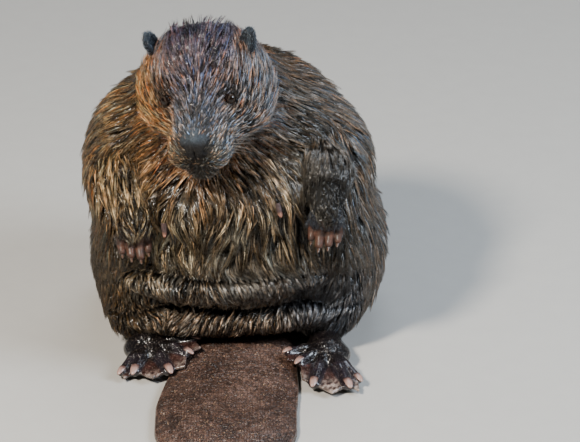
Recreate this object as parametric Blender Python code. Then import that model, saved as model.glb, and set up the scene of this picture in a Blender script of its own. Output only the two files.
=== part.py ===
"""A beaver sitting upright on its rump, life size, with its tail laid forward between the hind feet.

The animal faces -Y, +X is its left side, and it rests on z = 0. Each soft form is a group of rounded
masses (ellipsoids and tapered limbs) that melt together as a distance field. `skin_over` wraps one
closed mesh round a group, and Boolean cuts part the wrapped body into the pieces a person would name.
The solids reach to the tips of the coat. Run with: blender --background --python part.py
"""

import functools

import bmesh
import bpy
import numpy as np

MM = 0.001
GAP = 0.3  # mm between neighbouring solids
SLIVER = 0.02  # mm, the shortest edge a cut may leave

# ------------------------------------------------------------------ driving dimensions, in mm
BODY_HALF_WIDTH = 148  # at the rump, over the coat
BODY_HALF_DEPTH = 112
HEAD_LENGTH = 150  # nose tip to nape
NOSE_TIP = (-41, -215, 297)
HEAD_YAW, HEAD_PITCH, HEAD_ROLL = 7, -20, 6.5  # degrees
EYE_RADIUS = 6
EYE_PLACE = (58, 13)  # behind and above the nose tip
EAR_HEIGHT = 34
EAR_TURN = {1: -40, -1: 78}  # degrees each ear turns from facing forwards, left and right
TAIL_LENGTH, TAIL_HALF_WIDTH = 318, 75
TAIL_TIP_Y = -366
TAIL_EDGE, TAIL_MIDDLE, TAIL_ROOT = 3, 16, 34  # thickness
WEB_THICKNESS = 4.4
WEB_BULGE = 0.4  # how far a web's edge passes the line between its two toe tips

HEAD = HEAD_LENGTH / 150  # scale of every head mass


# ------------------------------------------------------------------ distance fields
def turned(yaw=0, pitch=0, roll=0):
    """Rotation matrix: roll about Y, then pitch about X, then yaw about Z, in degrees."""
    a, b, c = np.radians([yaw, pitch, roll])
    about_z = np.array([[np.cos(a), -np.sin(a), 0], [np.sin(a), np.cos(a), 0], [0, 0, 1]])
    about_x = np.array([[1, 0, 0], [0, np.cos(b), -np.sin(b)], [0, np.sin(b), np.cos(b)]])
    about_y = np.array([[np.cos(c), 0, np.sin(c)], [0, 1, 0], [-np.sin(c), 0, np.cos(c)]])
    return about_z @ about_x @ about_y


def ball(p, centre, radii, axes=None):
    """Nearly the distance to an ellipsoid; axes holds its own axes as columns."""
    q = p - np.asarray(centre, float)
    if axes is not None:
        q = q @ axes
    r = np.asarray(radii, float)
    level = np.sqrt(((q / r) ** 2).sum(-1))
    slope = np.sqrt(((q / (r * r)) ** 2).sum(-1)) + 1e-9
    return level * (level - 1) / slope


def limb(p, start, end, start_radius, end_radius):
    """Distance to a round bar that tapers from start to end."""
    start, end = np.asarray(start, float), np.asarray(end, float)
    run = end - start
    t = np.clip(((p - start) @ run) / (run @ run), 0, 1)
    away = np.sqrt(((p - start - t[..., None] * run) ** 2).sum(-1))
    return away - (start_radius + t * (end_radius - start_radius))


def melt(a, b, soft):
    """Union of two fields, rounded over the length soft."""
    h = np.maximum(soft - np.abs(a - b), 0) / soft
    return np.minimum(a, b) - h * h * soft / 4


def melt_all(fields, soft):
    out = fields[0]
    for field in fields[1:]:
        out = melt(out, field, soft)
    return out


def scoop(a, b, soft):
    """Field a with field b taken out of it, rounded over the length soft."""
    return -melt(-a, b, soft)


# ------------------------------------------------------------------ the head's own frame
def head_axes():
    """Rows: to the animal's left, to the back of the head, and to its top."""
    yaw, pitch, roll = np.radians([HEAD_YAW, HEAD_PITCH, HEAD_ROLL])
    ahead = np.array([-np.sin(yaw) * np.cos(pitch), -np.cos(yaw) * np.cos(pitch), np.sin(pitch)])
    level = np.array([np.cos(yaw), -np.sin(yaw), 0])
    side = level * np.cos(roll) + np.cross(ahead, level) * np.sin(roll)
    return np.array([side, -ahead, np.cross(ahead, side)])


HEAD_AXES = head_axes()


def on_head(side, back, up):
    """World place of a point given from the nose tip along the head's axes."""
    return np.array(NOSE_TIP, float) + HEAD * np.array([side, back, up]) @ HEAD_AXES


def head_ball(p, place, radii, turn=None):
    axes = HEAD_AXES.T if turn is None else HEAD_AXES.T @ turn
    return ball(p, on_head(*place), HEAD * np.asarray(radii, float), axes)


# ------------------------------------------------------------------ the masses of each part
def head_field(p):
    field = melt(head_ball(p, (0, 110, 6), (62, 52, 50)), head_ball(p, (0, 68, 0), (27, 42, 30)), 20)
    field = melt(field, head_ball(p, (0, 36, -4), (24, 36, 21)), 16)  # bridge of the nose
    field = melt(field, head_ball(p, (0, 38, -24), (33, 34, 27)), 14)  # muzzle
    for side in (-1, 1):
        field = melt(field, head_ball(p, (38 * side, 96, -16), (34, 42, 44)), 22)  # cheek
        field = melt(field, head_ball(p, (15 * side, 18, -24), (18, 17, 20)), 8)  # lip
    field = melt(field, head_ball(p, (0, 66, -40), (38, 44, 26)), 18)  # jaw
    return melt(field, head_ball(p, (0, 21, -47), (18, 16, 14)), 6)  # chin


def nose_field(p):
    pad = head_ball(p, (0, 9, -6), (17.5, 12, 15.5))
    for side in (-1, 1):
        nostril = head_ball(p, (12 * side, 1, -8), (4, 5, 5))
        pad = scoop(pad, nostril, 3)
    return pad


def ear_field(p, side):
    """A thin cup that opens forwards and outwards."""
    lean = turned(EAR_TURN[side], -10, 18 * side)
    place = np.array((51 * side, 112, 42))
    shell = head_ball(p, place, (13.5, 6.5, EAR_HEIGHT / 2 + 4), lean)
    hollow = head_ball(p, place + lean @ (0, -6.5, 2), (9.5, 5, EAR_HEIGHT / 2 - 2), lean)
    return scoop(shell, hollow, 3)


def trunk_field(p):
    wide, deep = BODY_HALF_WIDTH, BODY_HALF_DEPTH
    field = melt_all(
        [
            ball(p, (4, 52, 98), (wide, deep, 100)),  # rump
            ball(p, (2, -45, 138), (wide - 8, deep + 2, 108)),  # flanks and belly wall
            ball(p, (-2, 38, 184), (wide - 12, 96, 102)),  # loin
            ball(p, (-12, -40, 230), (120, 96, 74)),  # chest
            ball(p, (-11, 0, 247), (110, 84, 66)),  # shoulders
        ],
        40,
    )
    field = melt(field, ball(p, (-26, -60, 298), (74, 68, 54)), 40)  # nape
    field = melt(field, ball(p, (-112, -25, 190), (54, 70, 86)), 25)  # right shoulder
    field = melt(field, ball(p, (92, -10, 188), (60, 75, 69)), 25)  # left shoulder
    field = melt(field, ball(p, (104, -2, 84), (62, 116, 80)), 30)  # left haunch
    field = melt(field, ball(p, (-98, -2, 78), (62, 116, 76)), 30)  # right haunch
    for place in ((98, -66, 43), (-104, -60, 41)):
        field = melt(field, ball(p, place, (37, 50, 37)), 20)  # knee
    field = melt(field, ball(p, (0, -30, 40), (112, 72, 42)), 20)  # crotch
    field = melt(field, ball(p, (-10, -92, 192), (104, 82, 66)), 14)  # upper belly
    return field


def folds_field(p, field):
    """The two rolls of loose skin that the upper belly rests on."""
    field = melt(field, ball(p, (-6, -108, 102), (116, 58, 26), turned(0, 0, -3)), 7)
    return melt(field, ball(p, (1, -86, 52), (141, 56, 27), turned(0, 0, -3)), 7)


def core_field(p):
    """Head, neck, trunk and haunches as one."""
    return melt(folds_field(p, trunk_field(p)), head_field(p), 20)


SHOULDER = {"left": (86, -62, 218), "right": (-104, -56, 206)}
ELBOW = {"left": (99, -104, 215), "right": (-117, -92, 196)}
WRIST = {"left": (98, -150, 198), "right": (-106, -146, 183)}


def foreleg_field(p, side):
    upper = limb(p, SHOULDER[side], ELBOW[side], 30, 27)
    return melt(upper, limb(p, ELBOW[side], WRIST[side], 27, 17), 14)


# A digit: its place across the paw, its length and its radius
FINGERS = ((-14, 15, 4.2), (-7.5, 21, 4.8), (0, 23, 5), (7.5, 21, 4.8), (14, 15, 4.2))
PAW_AIM = {"left": (-0.05, -0.12, -1), "right": (0.02, -0.15, -1)}
PAW_SPREAD = {"left": (1, -0.15, 0), "right": (1, 0.2, 0.1)}


def paw_frame(side):
    aim = np.array(PAW_AIM[side], float)
    aim /= np.linalg.norm(aim)
    spread = np.array(PAW_SPREAD[side], float)
    spread -= aim * (spread @ aim)
    spread /= np.linalg.norm(spread)
    return aim, spread, np.cross(spread, aim)  # the last points out of the back of the paw


def finger_joints(side, digit):
    """Knuckle, middle joint and tip of one finger, curled towards the belly."""
    across, length, _ = FINGERS[digit]
    aim, spread, back = paw_frame(side)
    palm = np.array(WRIST[side], float) + aim * 14
    knuckle = palm + spread * across + aim * 6 + back * 3
    middle = knuckle + (aim * 0.95 + back * 0.15 + spread * across * 0.012) * length * 0.5
    tip = middle + (aim * 0.8 - back * 0.55) * length * 0.5
    return knuckle, middle, tip


def forepaw_field(p, side):
    aim, spread, back = paw_frame(side)
    palm = np.array(WRIST[side], float) + aim * 12
    field = ball(p, palm, (19, 11, 15), np.column_stack([spread, back, aim]))
    for digit, (_, _, radius) in enumerate(FINGERS):
        knuckle, middle, tip = finger_joints(side, digit)
        near, far = limb(p, knuckle, middle, radius, radius), limb(p, middle, tip, radius, radius * 0.85)
        finger = melt(near, far, 1.5)
        field = melt(field, finger, 4)
    return field


HEEL = {"left": (94, -52, 20), "right": (-90, -45, 20)}
BALL_OF_FOOT = {"left": (98, -126, 17), "right": (-94, -112, 17)}
# Toe tips from the inner to the outer one, with each toe's radius
TOES = {
    "left": (
        ((58, -145, 24), 5.5),
        ((70, -161, 20), 6),
        ((85, -192, 10), 7),
        ((121, -195, 10), 7),
        ((132, -180, 9), 6),
    ),
    "right": (
        ((-44, -120, 26.5), 5.5),
        ((-51, -146, 23.5), 6),
        ((-71, -169, 14), 7),
        ((-107, -163, 10), 7),
        ((-121, -161, 8), 6),
    ),
}


def toe_joints(side, digit):
    """Root, knuckle and tip of one toe, the knuckle arched above the line between them."""
    tip, _ = TOES[side][digit]
    tip = np.array(tip, float)
    ball_of_foot = np.array(BALL_OF_FOOT[side], float)
    root = ball_of_foot + (tip - ball_of_foot) * 0.12
    knuckle = root + (tip - root) * 0.55 + np.array([0, 0, 3.5])
    return root, knuckle, tip


def web_field(p, ankle, first, second):
    """A thin fan of skin between two toes: a flat plate whose edge bulges out past the toe tips."""
    a, b = first - ankle, second - ankle
    normal = np.cross(a, b)
    normal /= np.linalg.norm(normal)
    q = p - ankle
    height = q @ normal
    gram = np.array([[a @ a, a @ b], [a @ b, b @ b]])
    both = np.stack([q @ a, q @ b], -1) @ np.linalg.inv(gram)
    u, v = both[..., 0], both[..., 1]
    reach = 1 + WEB_BULGE * np.minimum(np.maximum(u, 0), np.maximum(v, 0))
    size = np.linalg.norm(a + b) / 2
    inside = np.maximum.reduce([-u * size * 0.7, -v * size * 0.7, (u + v - reach) * size])
    return np.maximum(np.abs(height) - WEB_THICKNESS / 2, inside)


def hindfoot_field(p, side):
    heel, ball_of_foot = HEEL[side], np.array(BALL_OF_FOOT[side], float)
    field = melt(limb(p, heel, ball_of_foot, 19, 17), ball(p, ball_of_foot - (0, 4, 3), (27, 26, 14)), 8)
    for digit, (_, radius) in enumerate(TOES[side]):
        root, knuckle, tip = toe_joints(side, digit)
        thick = radius * 0.95
        toe = melt(limb(p, root, knuckle, 8, thick), limb(p, knuckle, tip, thick, radius * 0.85), 3)
        field = melt(field, toe, 4)
    for digit in range(4):
        first, second = (toe_joints(side, digit + k)[2] - (0, 0, 1) for k in (0, 1))
        field = melt(field, web_field(p, ball_of_foot, first, second), 4)
    return field


# ------------------------------------------------------------------ wrapping a field in a mesh
BLOCK = 8  # grid cells along a block's side


def sampled(field, low, counts, cell):
    """Field values on a grid; blocks far from the surface get their middle's value alone."""
    blocks = -(-counts // BLOCK)
    values = np.empty(blocks * BLOCK, float)
    corner = np.stack(np.meshgrid(*(np.arange(n) for n in blocks), indexing="ij"), -1).reshape(-1, 3)
    middle = field(low + (corner * BLOCK + BLOCK / 2) * cell)
    near = np.abs(middle) < 1.6 * np.linalg.norm(cell) * BLOCK
    inner = np.stack(np.meshgrid(*[np.arange(BLOCK)] * 3, indexing="ij"), -1)
    for place, value, is_near in zip(corner * BLOCK, middle, near):
        x, y, z = place
        part = field(low + (place + inner) * cell) if is_near else value
        values[x : x + BLOCK, y : y + BLOCK, z : z + BLOCK] = part
    return values


def without_pinches(values, depth):
    """Fills the outer corners of every grid face whose inner corners only meet across a diagonal,
    so that the surface never touches itself along an edge."""
    filled = True
    while np.any(filled):
        inside = values < 0
        filled = np.zeros(values.shape, bool)
        for axis in range(3):
            face, out = np.moveaxis(inside, axis, 2), np.moveaxis(filled, axis, 2)
            a, b, c, d = face[:-1, :-1], face[1:, :-1], face[:-1, 1:], face[1:, 1:]
            one, other = a & d & ~b & ~c, b & c & ~a & ~d
            out[1:, :-1] |= one
            out[:-1, 1:] |= one
            out[:-1, :-1] |= other
            out[1:, 1:] |= other
        values[filled] = -depth
    return values


def skin_over(field, low, high, cell):
    """Points and quads of the closed surface where field is 0: one point in each grid cell that the
    surface crosses, at the mean of its crossings, and one quad round each crossed grid edge."""
    low, high = np.array(low, float), np.array(high, float)
    counts = np.ceil((high - low) / cell).astype(int) + 1
    values = without_pinches(sampled(field, low, counts, np.full(3, float(cell))), 0.1 * cell)
    inside = values < 0
    cells = np.array(values.shape) - 1
    total, crossings = np.zeros((*cells, 3)), np.zeros(cells)
    crossed = []
    for axis in range(3):
        across = [k for k in range(3) if k != axis]
        head = np.moveaxis(values, axis, 0)
        first, second = head[:-1], head[1:]
        is_crossed = (first < 0) != (second < 0)
        share = np.where(is_crossed, first / np.where(is_crossed, first - second, 1), 0)
        is_crossed, share = np.moveaxis(is_crossed, 0, axis), np.moveaxis(share, 0, axis)
        crossed.append(is_crossed)
        for i in (0, 1):
            for j in (0, 1):
                pick = [slice(None)] * 3
                pick[across[0]] = slice(i, cells[across[0]] + i)
                pick[across[1]] = slice(j, cells[across[1]] + j)
                hit = is_crossed[tuple(pick)]
                total[..., axis] += share[tuple(pick)]
                total[..., across[0]] += hit * i
                total[..., across[1]] += hit * j
                crossings += hit
    used = crossings > 0
    number = np.full(cells, -1)
    number[used] = np.arange(used.sum())
    points = low + (np.argwhere(used) + total[used] / crossings[used][:, None]) * cell
    quads = []
    for axis in range(3):
        one, two = (axis + 1) % 3, (axis + 2) % 3
        edges = np.argwhere(crossed[axis])
        leaving = inside[tuple(edges.T)]
        ring = []
        for i, j in ((0, 0), (-1, 0), (-1, -1), (0, -1)):
            corner = edges.copy()
            corner[:, one] += i
            corner[:, two] += j
            ring.append(number[tuple(corner.T)])
        quad = np.stack(ring, 1)
        quads.append(np.where(leaving[:, None], quad, quad[:, ::-1]))
    return points, np.concatenate(quads)


# ------------------------------------------------------------------ objects
def clear_scene():
    for obj in list(bpy.data.objects):
        bpy.data.objects.remove(obj)


def material(name, colour, roughness):
    found = bpy.data.materials.get(name)
    if found:
        return found
    made = bpy.data.materials.new(name)
    made.use_nodes = True
    shader = made.node_tree.nodes["Principled BSDF"]
    shader.inputs["Base Color"].default_value = (*colour, 1)
    shader.inputs["Roughness"].default_value = roughness
    return made


FINISHES = {
    "coat": ((0.10, 0.055, 0.03), 0.55),
    "bare_skin": ((0.035, 0.025, 0.028), 0.45),
    "tail_skin": ((0.07, 0.04, 0.03), 0.5),
    "claw": ((0.42, 0.28, 0.22), 0.35),
    "eye": ((0.006, 0.005, 0.005), 0.06),
}


def solid(name, points, faces, finish, smooth=True):
    """An object made from points in mm."""
    mesh = bpy.data.meshes.new(name)
    mesh.from_pydata((np.asarray(points) * MM).tolist(), [], faces)
    mesh.materials.append(material(finish, *FINISHES[finish]))
    obj = bpy.data.objects.new(name, mesh)
    bpy.context.scene.collection.objects.link(obj)
    if smooth:
        mesh.shade_smooth()
    return obj


def use(obj, kind, **settings):
    """Adds a modifier with its settings and applies it."""
    modifier = obj.modifiers.new(kind, kind)
    for name, value in settings.items():
        setattr(modifier, name, value)
    graph = bpy.context.evaluated_depsgraph_get()
    mesh = bpy.data.meshes.new_from_object(obj.evaluated_get(graph))
    obj.modifiers.clear()
    obj.data = mesh


def wrapped(name, field, low, high, cell, triangles, finish):
    """The field's surface as an object, thinned to about that many triangles."""
    points, quads = skin_over(field, low, high, cell)
    obj = solid(name, points, quads.tolist(), finish)
    made = 2 * len(obj.data.polygons)
    use(obj, "TRIANGULATE")
    use(obj, "DECIMATE", ratio=triangles / made)
    return obj


def grown(obj, by=GAP):
    """A helper copy of a solid, its surface moved out by the gap."""
    copy = obj.copy()
    copy.data = obj.data.copy()
    copy.name = obj.name + "_grown"
    copy.hide_render = True
    copy.display_type = "WIRE"
    bpy.context.scene.collection.objects.link(copy)
    shape = bmesh.new()
    shape.from_mesh(copy.data)
    shape.normal_update()
    for vertex in shape.verts:
        vertex.co += vertex.normal * by * MM
    shape.to_mesh(copy.data)
    shape.free()
    return copy


def cutter_box(name, low, high, axes=None, at=(0, 0, 0)):
    """A helper block given by its corners in mm, in its own axes from the point at."""
    corners = np.array(np.meshgrid(*zip(low, high), indexing="ij")).reshape(3, 8).T
    turn = np.eye(3) if axes is None else axes
    faces = [(0, 1, 3, 2), (4, 6, 7, 5), (0, 4, 5, 1), (2, 3, 7, 6), (0, 2, 6, 4), (1, 5, 7, 3)]
    box = solid(name, corners @ turn + np.asarray(at, float), faces, "coat", smooth=False)
    box.hide_render = True
    box.display_type = "WIRE"
    return box


def cut(obj, cutter, operation="DIFFERENCE"):
    """Cuts, then welds the points the cut leaves closer together than SLIVER."""
    use(obj, "BOOLEAN", object=cutter, operation=operation, solver="EXACT")
    shape = bmesh.new()
    shape.from_mesh(obj.data)
    bmesh.ops.remove_doubles(shape, verts=shape.verts, dist=SLIVER * MM)
    bmesh.ops.dissolve_degenerate(shape, edges=shape.edges, dist=SLIVER * MM)
    bmesh.ops.triangulate(shape, faces=shape.faces)
    shape.to_mesh(obj.data)
    shape.free()
    return obj


def copy_of(obj, name):
    copy = obj.copy()
    copy.data = obj.data.copy()
    copy.name = name
    bpy.context.scene.collection.objects.link(copy)
    return copy


def keep_largest(obj):
    """Drops the scraps a cut leaves, keeping the biggest closed piece."""
    shape = bmesh.new()
    shape.from_mesh(obj.data)
    left, groups = set(shape.verts), []
    while left:
        group, edge_of_group = set(), [left.pop()]
        while edge_of_group:
            vertex = edge_of_group.pop()
            group.add(vertex)
            near = {e.other_vert(vertex) for e in vertex.link_edges} - group
            edge_of_group.extend(near)
            left -= near
        groups.append(group)
    largest = max(groups, key=len)
    bmesh.ops.delete(shape, geom=[v for v in shape.verts if v not in largest], context="VERTS")
    shape.to_mesh(obj.data)
    shape.free()
    return obj


def loft(name, rings, finish):
    """A closed solid through rings of points, each end drawn in to the ring's middle."""
    count, sides = rings.shape[:2]
    points = np.concatenate([rings.reshape(-1, 3), rings[[0, -1]].mean(1)])
    a = np.arange(sides)
    b = (a + 1) % sides
    wall = np.stack([a, sides + a, sides + b, b], 1)
    walls = np.concatenate([k * sides + wall for k in range(count - 1)])
    last = (count - 1) * sides
    start, end = count * sides, count * sides + 1
    start_cap = np.stack([np.full(sides, start), a, b], 1)
    end_cap = np.stack([np.full(sides, end), last + b, last + a], 1)
    obj = solid(name, points, walls.tolist() + start_cap.tolist() + end_cap.tolist(), finish)
    shape = bmesh.new()
    shape.from_mesh(obj.data)
    bmesh.ops.recalc_face_normals(shape, faces=shape.faces)
    shape.to_mesh(obj.data)
    shape.free()
    return obj


# ------------------------------------------------------------------ tail
TIP_ROUNDING = 0.24  # share of the tail's length taken by the round end


def tail_size(s):
    """Middle line x and y, half width and thickness at share s from root to tip."""
    y = TAIL_TIP_Y + TAIL_LENGTH * (1 - s)
    x = 10 - 18 * np.clip(s / 0.6, 0, 1)
    narrow = 1 - 0.36 * np.clip(1 - s / 0.6, 0, 1) ** 1.6
    end = np.sqrt(np.clip(1 - np.clip((s - 1 + TIP_ROUNDING) / TIP_ROUNDING, 0, 1) ** 2, 0, 1))
    middle = TAIL_MIDDLE + (TAIL_ROOT - TAIL_MIDDLE) * np.clip(1 - s / 0.5, 0, 1) ** 1.5
    thick = TAIL_EDGE + (middle - TAIL_EDGE) * (0.35 + 0.65 * end)
    return x, y, TAIL_HALF_WIDTH * narrow * end, thick


def tail_rings(along=15, around=16):
    """Lens sections with a flat underside: the top follows a sine, the bottom flattens at once."""
    straight = np.linspace(0, 1 - TIP_ROUNDING, along - 7, endpoint=False)
    rounded = 1 - TIP_ROUNDING + TIP_ROUNDING * np.sin(np.linspace(0, np.pi / 2 * 0.97, 7))
    x, y, half, thick = (v[:, None] for v in tail_size(np.concatenate([straight, rounded])))
    angle = np.linspace(0, 2 * np.pi, around, endpoint=False)[None, :]
    up = np.sin(angle)
    top = TAIL_EDGE + (thick - TAIL_EDGE) * np.abs(up) ** 0.9
    bottom = TAIL_EDGE * (1 - np.abs(up) ** 0.3) * (np.abs(up) < 0.3)
    z = np.where(up >= 0, top, bottom)
    return np.stack([x + half * np.cos(angle), y + 0 * angle, z], -1)


# ------------------------------------------------------------------ claws
def claw_rings(base, aim, up, length, width, height, droop=0.35, along=3, around=5):
    """Oval rings along an arc that bends down, from the base to a blunt tip."""
    aim = np.asarray(aim, float) / np.linalg.norm(aim)
    side = np.cross(aim, up)
    side /= np.linalg.norm(side)
    top = np.cross(side, aim)
    t = np.linspace(0, 1, along)[:, None, None]
    angle = np.linspace(0, 2 * np.pi, around, endpoint=False)[None, :, None]
    line = np.asarray(base, float) + aim * t * length - top * droop * length * t**2
    size = np.sqrt(1 - (0.92 * t) ** 2)
    return line + side * np.cos(angle) * size * width / 2 + top * np.sin(angle) * size * height / 2


HIND_CLAW = (16, 8.6, 6)  # length, width and height
FORE_CLAW = (10, 4, 4)


def hind_claws(side):
    rings = []
    for digit, (_, radius) in enumerate(TOES[side]):
        _, knuckle, tip = toe_joints(side, digit)
        aim = (tip - knuckle) * (1, 1, 0.25)
        aim /= np.linalg.norm(aim)
        length, width, height = (radius / 7 * size for size in HIND_CLAW)
        base = tip - aim * 3 + np.array([0, 0, 0.85 * radius])
        rings.append(claw_rings(base, aim, (0, 0, 1), length, width, height, droop=0.25))
    return rings


def fore_claws(side):
    _, _, back = paw_frame(side)
    rings = []
    for digit, (_, _, radius) in enumerate(FINGERS):
        _, middle, tip = finger_joints(side, digit)
        aim = (tip - middle) / np.linalg.norm(tip - middle)
        rings.append(claw_rings(tip + aim * (radius - 2.5) + back, aim, back, *FORE_CLAW))
    return rings


# ------------------------------------------------------------------ cutting the body into its parts
HEAD_CUT = ((0, 70, -5), (94, 90, 92))  # ellipsoids in the head's own axes: middle and radii
NECK_CUT = ((0, 78, -16), (118, 114, 114))
HAUNCH_CUT = {"left": ((124, 12, 66), (66, 112, 86)), "right": ((-118, 12, 62), (66, 112, 84))}
WAIST = {"at": (0, -150, 126), "slope": 14}


def cutter_ball(name, cutting, axes, at, by=0.0, around=16, rings=8):
    """A helper ellipsoid; by moves its surface outwards."""
    middle, radii = (np.array(v, float) for v in cutting)
    angle = np.linspace(0.04, 0.96, rings)[:, None] * np.pi
    turn = np.linspace(0, 2 * np.pi, around, endpoint=False)[None, :]
    way = np.stack([np.sin(angle) * np.cos(turn), np.sin(angle) * np.sin(turn), np.cos(angle) + 0 * turn], -1)
    ball_of_rings = loft(name, (way * (radii + by) + middle) @ axes + np.asarray(at, float), "coat")
    ball_of_rings.hide_render = True
    ball_of_rings.display_type = "WIRE"
    return ball_of_rings


def head_clipped(p):
    """The core, clipped a little outside the head's cut."""
    middle, radii = HEAD_CUT
    return np.maximum(core_field(p), head_ball(p, middle, np.array(radii) + 8))


def on_floor(obj):
    """Cuts off what reaches below z = 0, which leaves the flats that the animal rests on."""
    return cut(obj, cutter_box("floor", (-400, -500, -60), (400, 400, 0)))


def make_head(eyes):
    low, high = (-145, -232, 195), (80, -10, 400)
    head = wrapped("head", head_clipped, low, high, 3.6, 1300, "coat")
    cut(head, cutter_ball("head_cut", HEAD_CUT, HEAD_AXES, NOSE_TIP), "INTERSECT")
    for eye in eyes:
        cut(head, grown(eye))
    return keep_largest(head)


def eye_centre(side):
    """The eye sits on the coat's surface, found along the head's side axis, and sunk by half."""
    back, up = EYE_PLACE
    reach = np.linspace(20, 60, 401)
    places = np.array([on_head(side * r, back, up) for r in reach])
    surface = reach[np.argmax(core_field(places) > 0)]
    return on_head(side * (surface - 0.55 * EYE_RADIUS), back, up)


def make_eye(name, side, around=10, rings=5):
    angle = np.linspace(0.13, 0.87, rings)[:, None] * np.pi
    turn = np.linspace(0, 2 * np.pi, around, endpoint=False)[None, :]
    way = np.stack([np.sin(angle) * np.cos(turn), np.sin(angle) * np.sin(turn), np.cos(angle) + 0 * turn], -1)
    return loft(name, way * EYE_RADIUS + eye_centre(side), "eye")


def make_body(core):
    """Neck, chest, abdomen and haunches, cut from the core with a gap between them."""
    neck = cut(copy_of(core, "neck"), cutter_ball("neck_cut", NECK_CUT, HEAD_AXES, NOSE_TIP), "INTERSECT")
    cut(neck, cutter_ball("head_wide", HEAD_CUT, HEAD_AXES, NOSE_TIP, GAP))
    trunk = cut(copy_of(core, "trunk"), cutter_ball("neck_wide", NECK_CUT, HEAD_AXES, NOSE_TIP, GAP))
    above = ((-400, -400, 0), (400, 400, 400))
    waist = turned(pitch=WAIST["slope"]).T
    chest = cut(copy_of(trunk, "chest"), cutter_box("above_waist", *above, waist, WAIST["at"]), "INTERSECT")
    gap_below = WAIST["at"] - np.array([0, 0, GAP])
    abdomen = cut(copy_of(trunk, "abdomen"), cutter_box("waist_wide", *above, waist, gap_below))
    haunches = []
    for side, cutting in HAUNCH_CUT.items():
        haunch = copy_of(abdomen, "haunch_" + side)
        cut(haunch, cutter_ball("haunch_cut", cutting, np.eye(3), (0, 0, 0)), "INTERSECT")
        cut(abdomen, cutter_ball("haunch_wide", cutting, np.eye(3), (0, 0, 0), GAP))
        haunches.append(haunch)
    bpy.data.objects.remove(trunk)
    return [keep_largest(part) for part in (neck, chest, abdomen, *haunches)]


def centre_on_base(nodes):
    """Moves every node so that the origin is under the middle of the whole animal, on the floor."""
    corners = np.concatenate([np.array([v.co for v in node.data.vertices]) for node in nodes])
    middle = (corners.min(0) + corners.max(0)) / 2
    shift = np.array([-middle[0], -middle[1], -corners[:, 2].min()])
    for node in nodes:
        for vertex in node.data.vertices:
            vertex.co += type(vertex.co)(shift)


def main():
    clear_scene()
    eyes = [make_eye("eye_left", 1), make_eye("eye_right", -1)]
    core = wrapped("core", core_field, (-190, -240, -15), (190, 190, 400), 6, 1900, "coat")
    on_floor(core)
    core_wide = grown(core)
    head = make_head(eyes)
    neck, *trunk = make_body(core)
    tail = cut(loft("tail", tail_rings(), "tail_skin"), core_wide)
    keep_largest(tail)
    nodes = [*eyes, head, neck, *trunk, tail]
    head_wide, neck_wide, tail_wide = grown(head), grown(neck), grown(tail)
    place = on_head(0, 6, -6)
    nose = wrapped("nose", nose_field, place - 24, place + 24, 1.8, 150, "bare_skin")
    nodes.append(keep_largest(cut(nose, head_wide)))
    for name, sign in (("left", 1), ("right", -1)):
        place = on_head(55 * sign, 110, 44)
        field = functools.partial(ear_field, side=sign)
        ear = wrapped("ear_" + name, field, place - 34, place + 34, 1.8, 130, "coat")
        cut(ear, neck_wide)
        nodes.append(keep_largest(cut(ear, head_wide)))
        middle = np.array(ELBOW[name], float)
        field = functools.partial(foreleg_field, side=name)
        foreleg = wrapped("foreleg_" + name, field, middle - 100, middle + 100, 5, 240, "coat")
        foreleg_wide = grown(foreleg)
        nodes.append(keep_largest(cut(foreleg, core_wide)))
        middle = np.array(WRIST[name], float)
        field = functools.partial(forepaw_field, side=name)
        forepaw = wrapped("forepaw_" + name, field, middle - 48, middle + 48, 1.6, 330, "bare_skin")
        forepaw_wide = grown(forepaw)
        cut(forepaw, foreleg_wide)
        nodes.append(keep_largest(cut(forepaw, core_wide)))
        middle = np.array(BALL_OF_FOOT[name], float)
        field = functools.partial(hindfoot_field, side=name)
        low, high = middle - (80, 95, 30), middle + (80, 110, 50)
        hindfoot = wrapped("hindfoot_" + name, field, low, high, 2.4, 480, "bare_skin")
        on_floor(hindfoot)
        hindfoot_wide = grown(hindfoot)
        cut(hindfoot, tail_wide)
        nodes.append(keep_largest(cut(hindfoot, core_wide)))
        for limb_name, rings, wide in (
            ("hind", hind_claws(name), (hindfoot_wide, tail_wide, core_wide)),
            ("fore", fore_claws(name), (forepaw_wide, core_wide)),
        ):
            for digit, ring in enumerate(rings):
                claw = loft(f"claw_{limb_name}_{name}_{digit + 1}", ring, "claw")
                for other in wide:
                    cut(claw, other)
                nodes.append(keep_largest(claw))
    keep = set(nodes)
    for obj in list(bpy.data.objects):
        if obj not in keep:
            bpy.data.objects.remove(obj)
    centre_on_base(nodes)


if __name__ == "__main__":
    main()
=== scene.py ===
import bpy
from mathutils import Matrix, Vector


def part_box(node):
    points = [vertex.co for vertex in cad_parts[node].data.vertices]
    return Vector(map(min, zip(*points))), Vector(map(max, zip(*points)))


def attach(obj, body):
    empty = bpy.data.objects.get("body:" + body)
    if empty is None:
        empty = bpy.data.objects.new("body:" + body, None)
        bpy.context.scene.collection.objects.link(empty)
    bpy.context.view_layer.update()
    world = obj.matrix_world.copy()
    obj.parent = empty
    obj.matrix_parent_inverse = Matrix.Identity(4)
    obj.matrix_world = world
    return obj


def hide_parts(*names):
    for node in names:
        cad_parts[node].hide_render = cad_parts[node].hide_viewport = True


bl_info = {
    "name": "Sitting beaver",
    "version": (1, 0, 0),
    "blender": (4, 5, 0),
    "location": "View3D > Sidebar > Beaver",
    "description": "Wet coat, skin, eyes, claws and scaled tail for a life-size sitting beaver",
    "category": "Object",
}

import functools

import bpy
import numpy as np
from bpy.props import FloatProperty, FloatVectorProperty, PointerProperty
from mathutils import Vector

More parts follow.
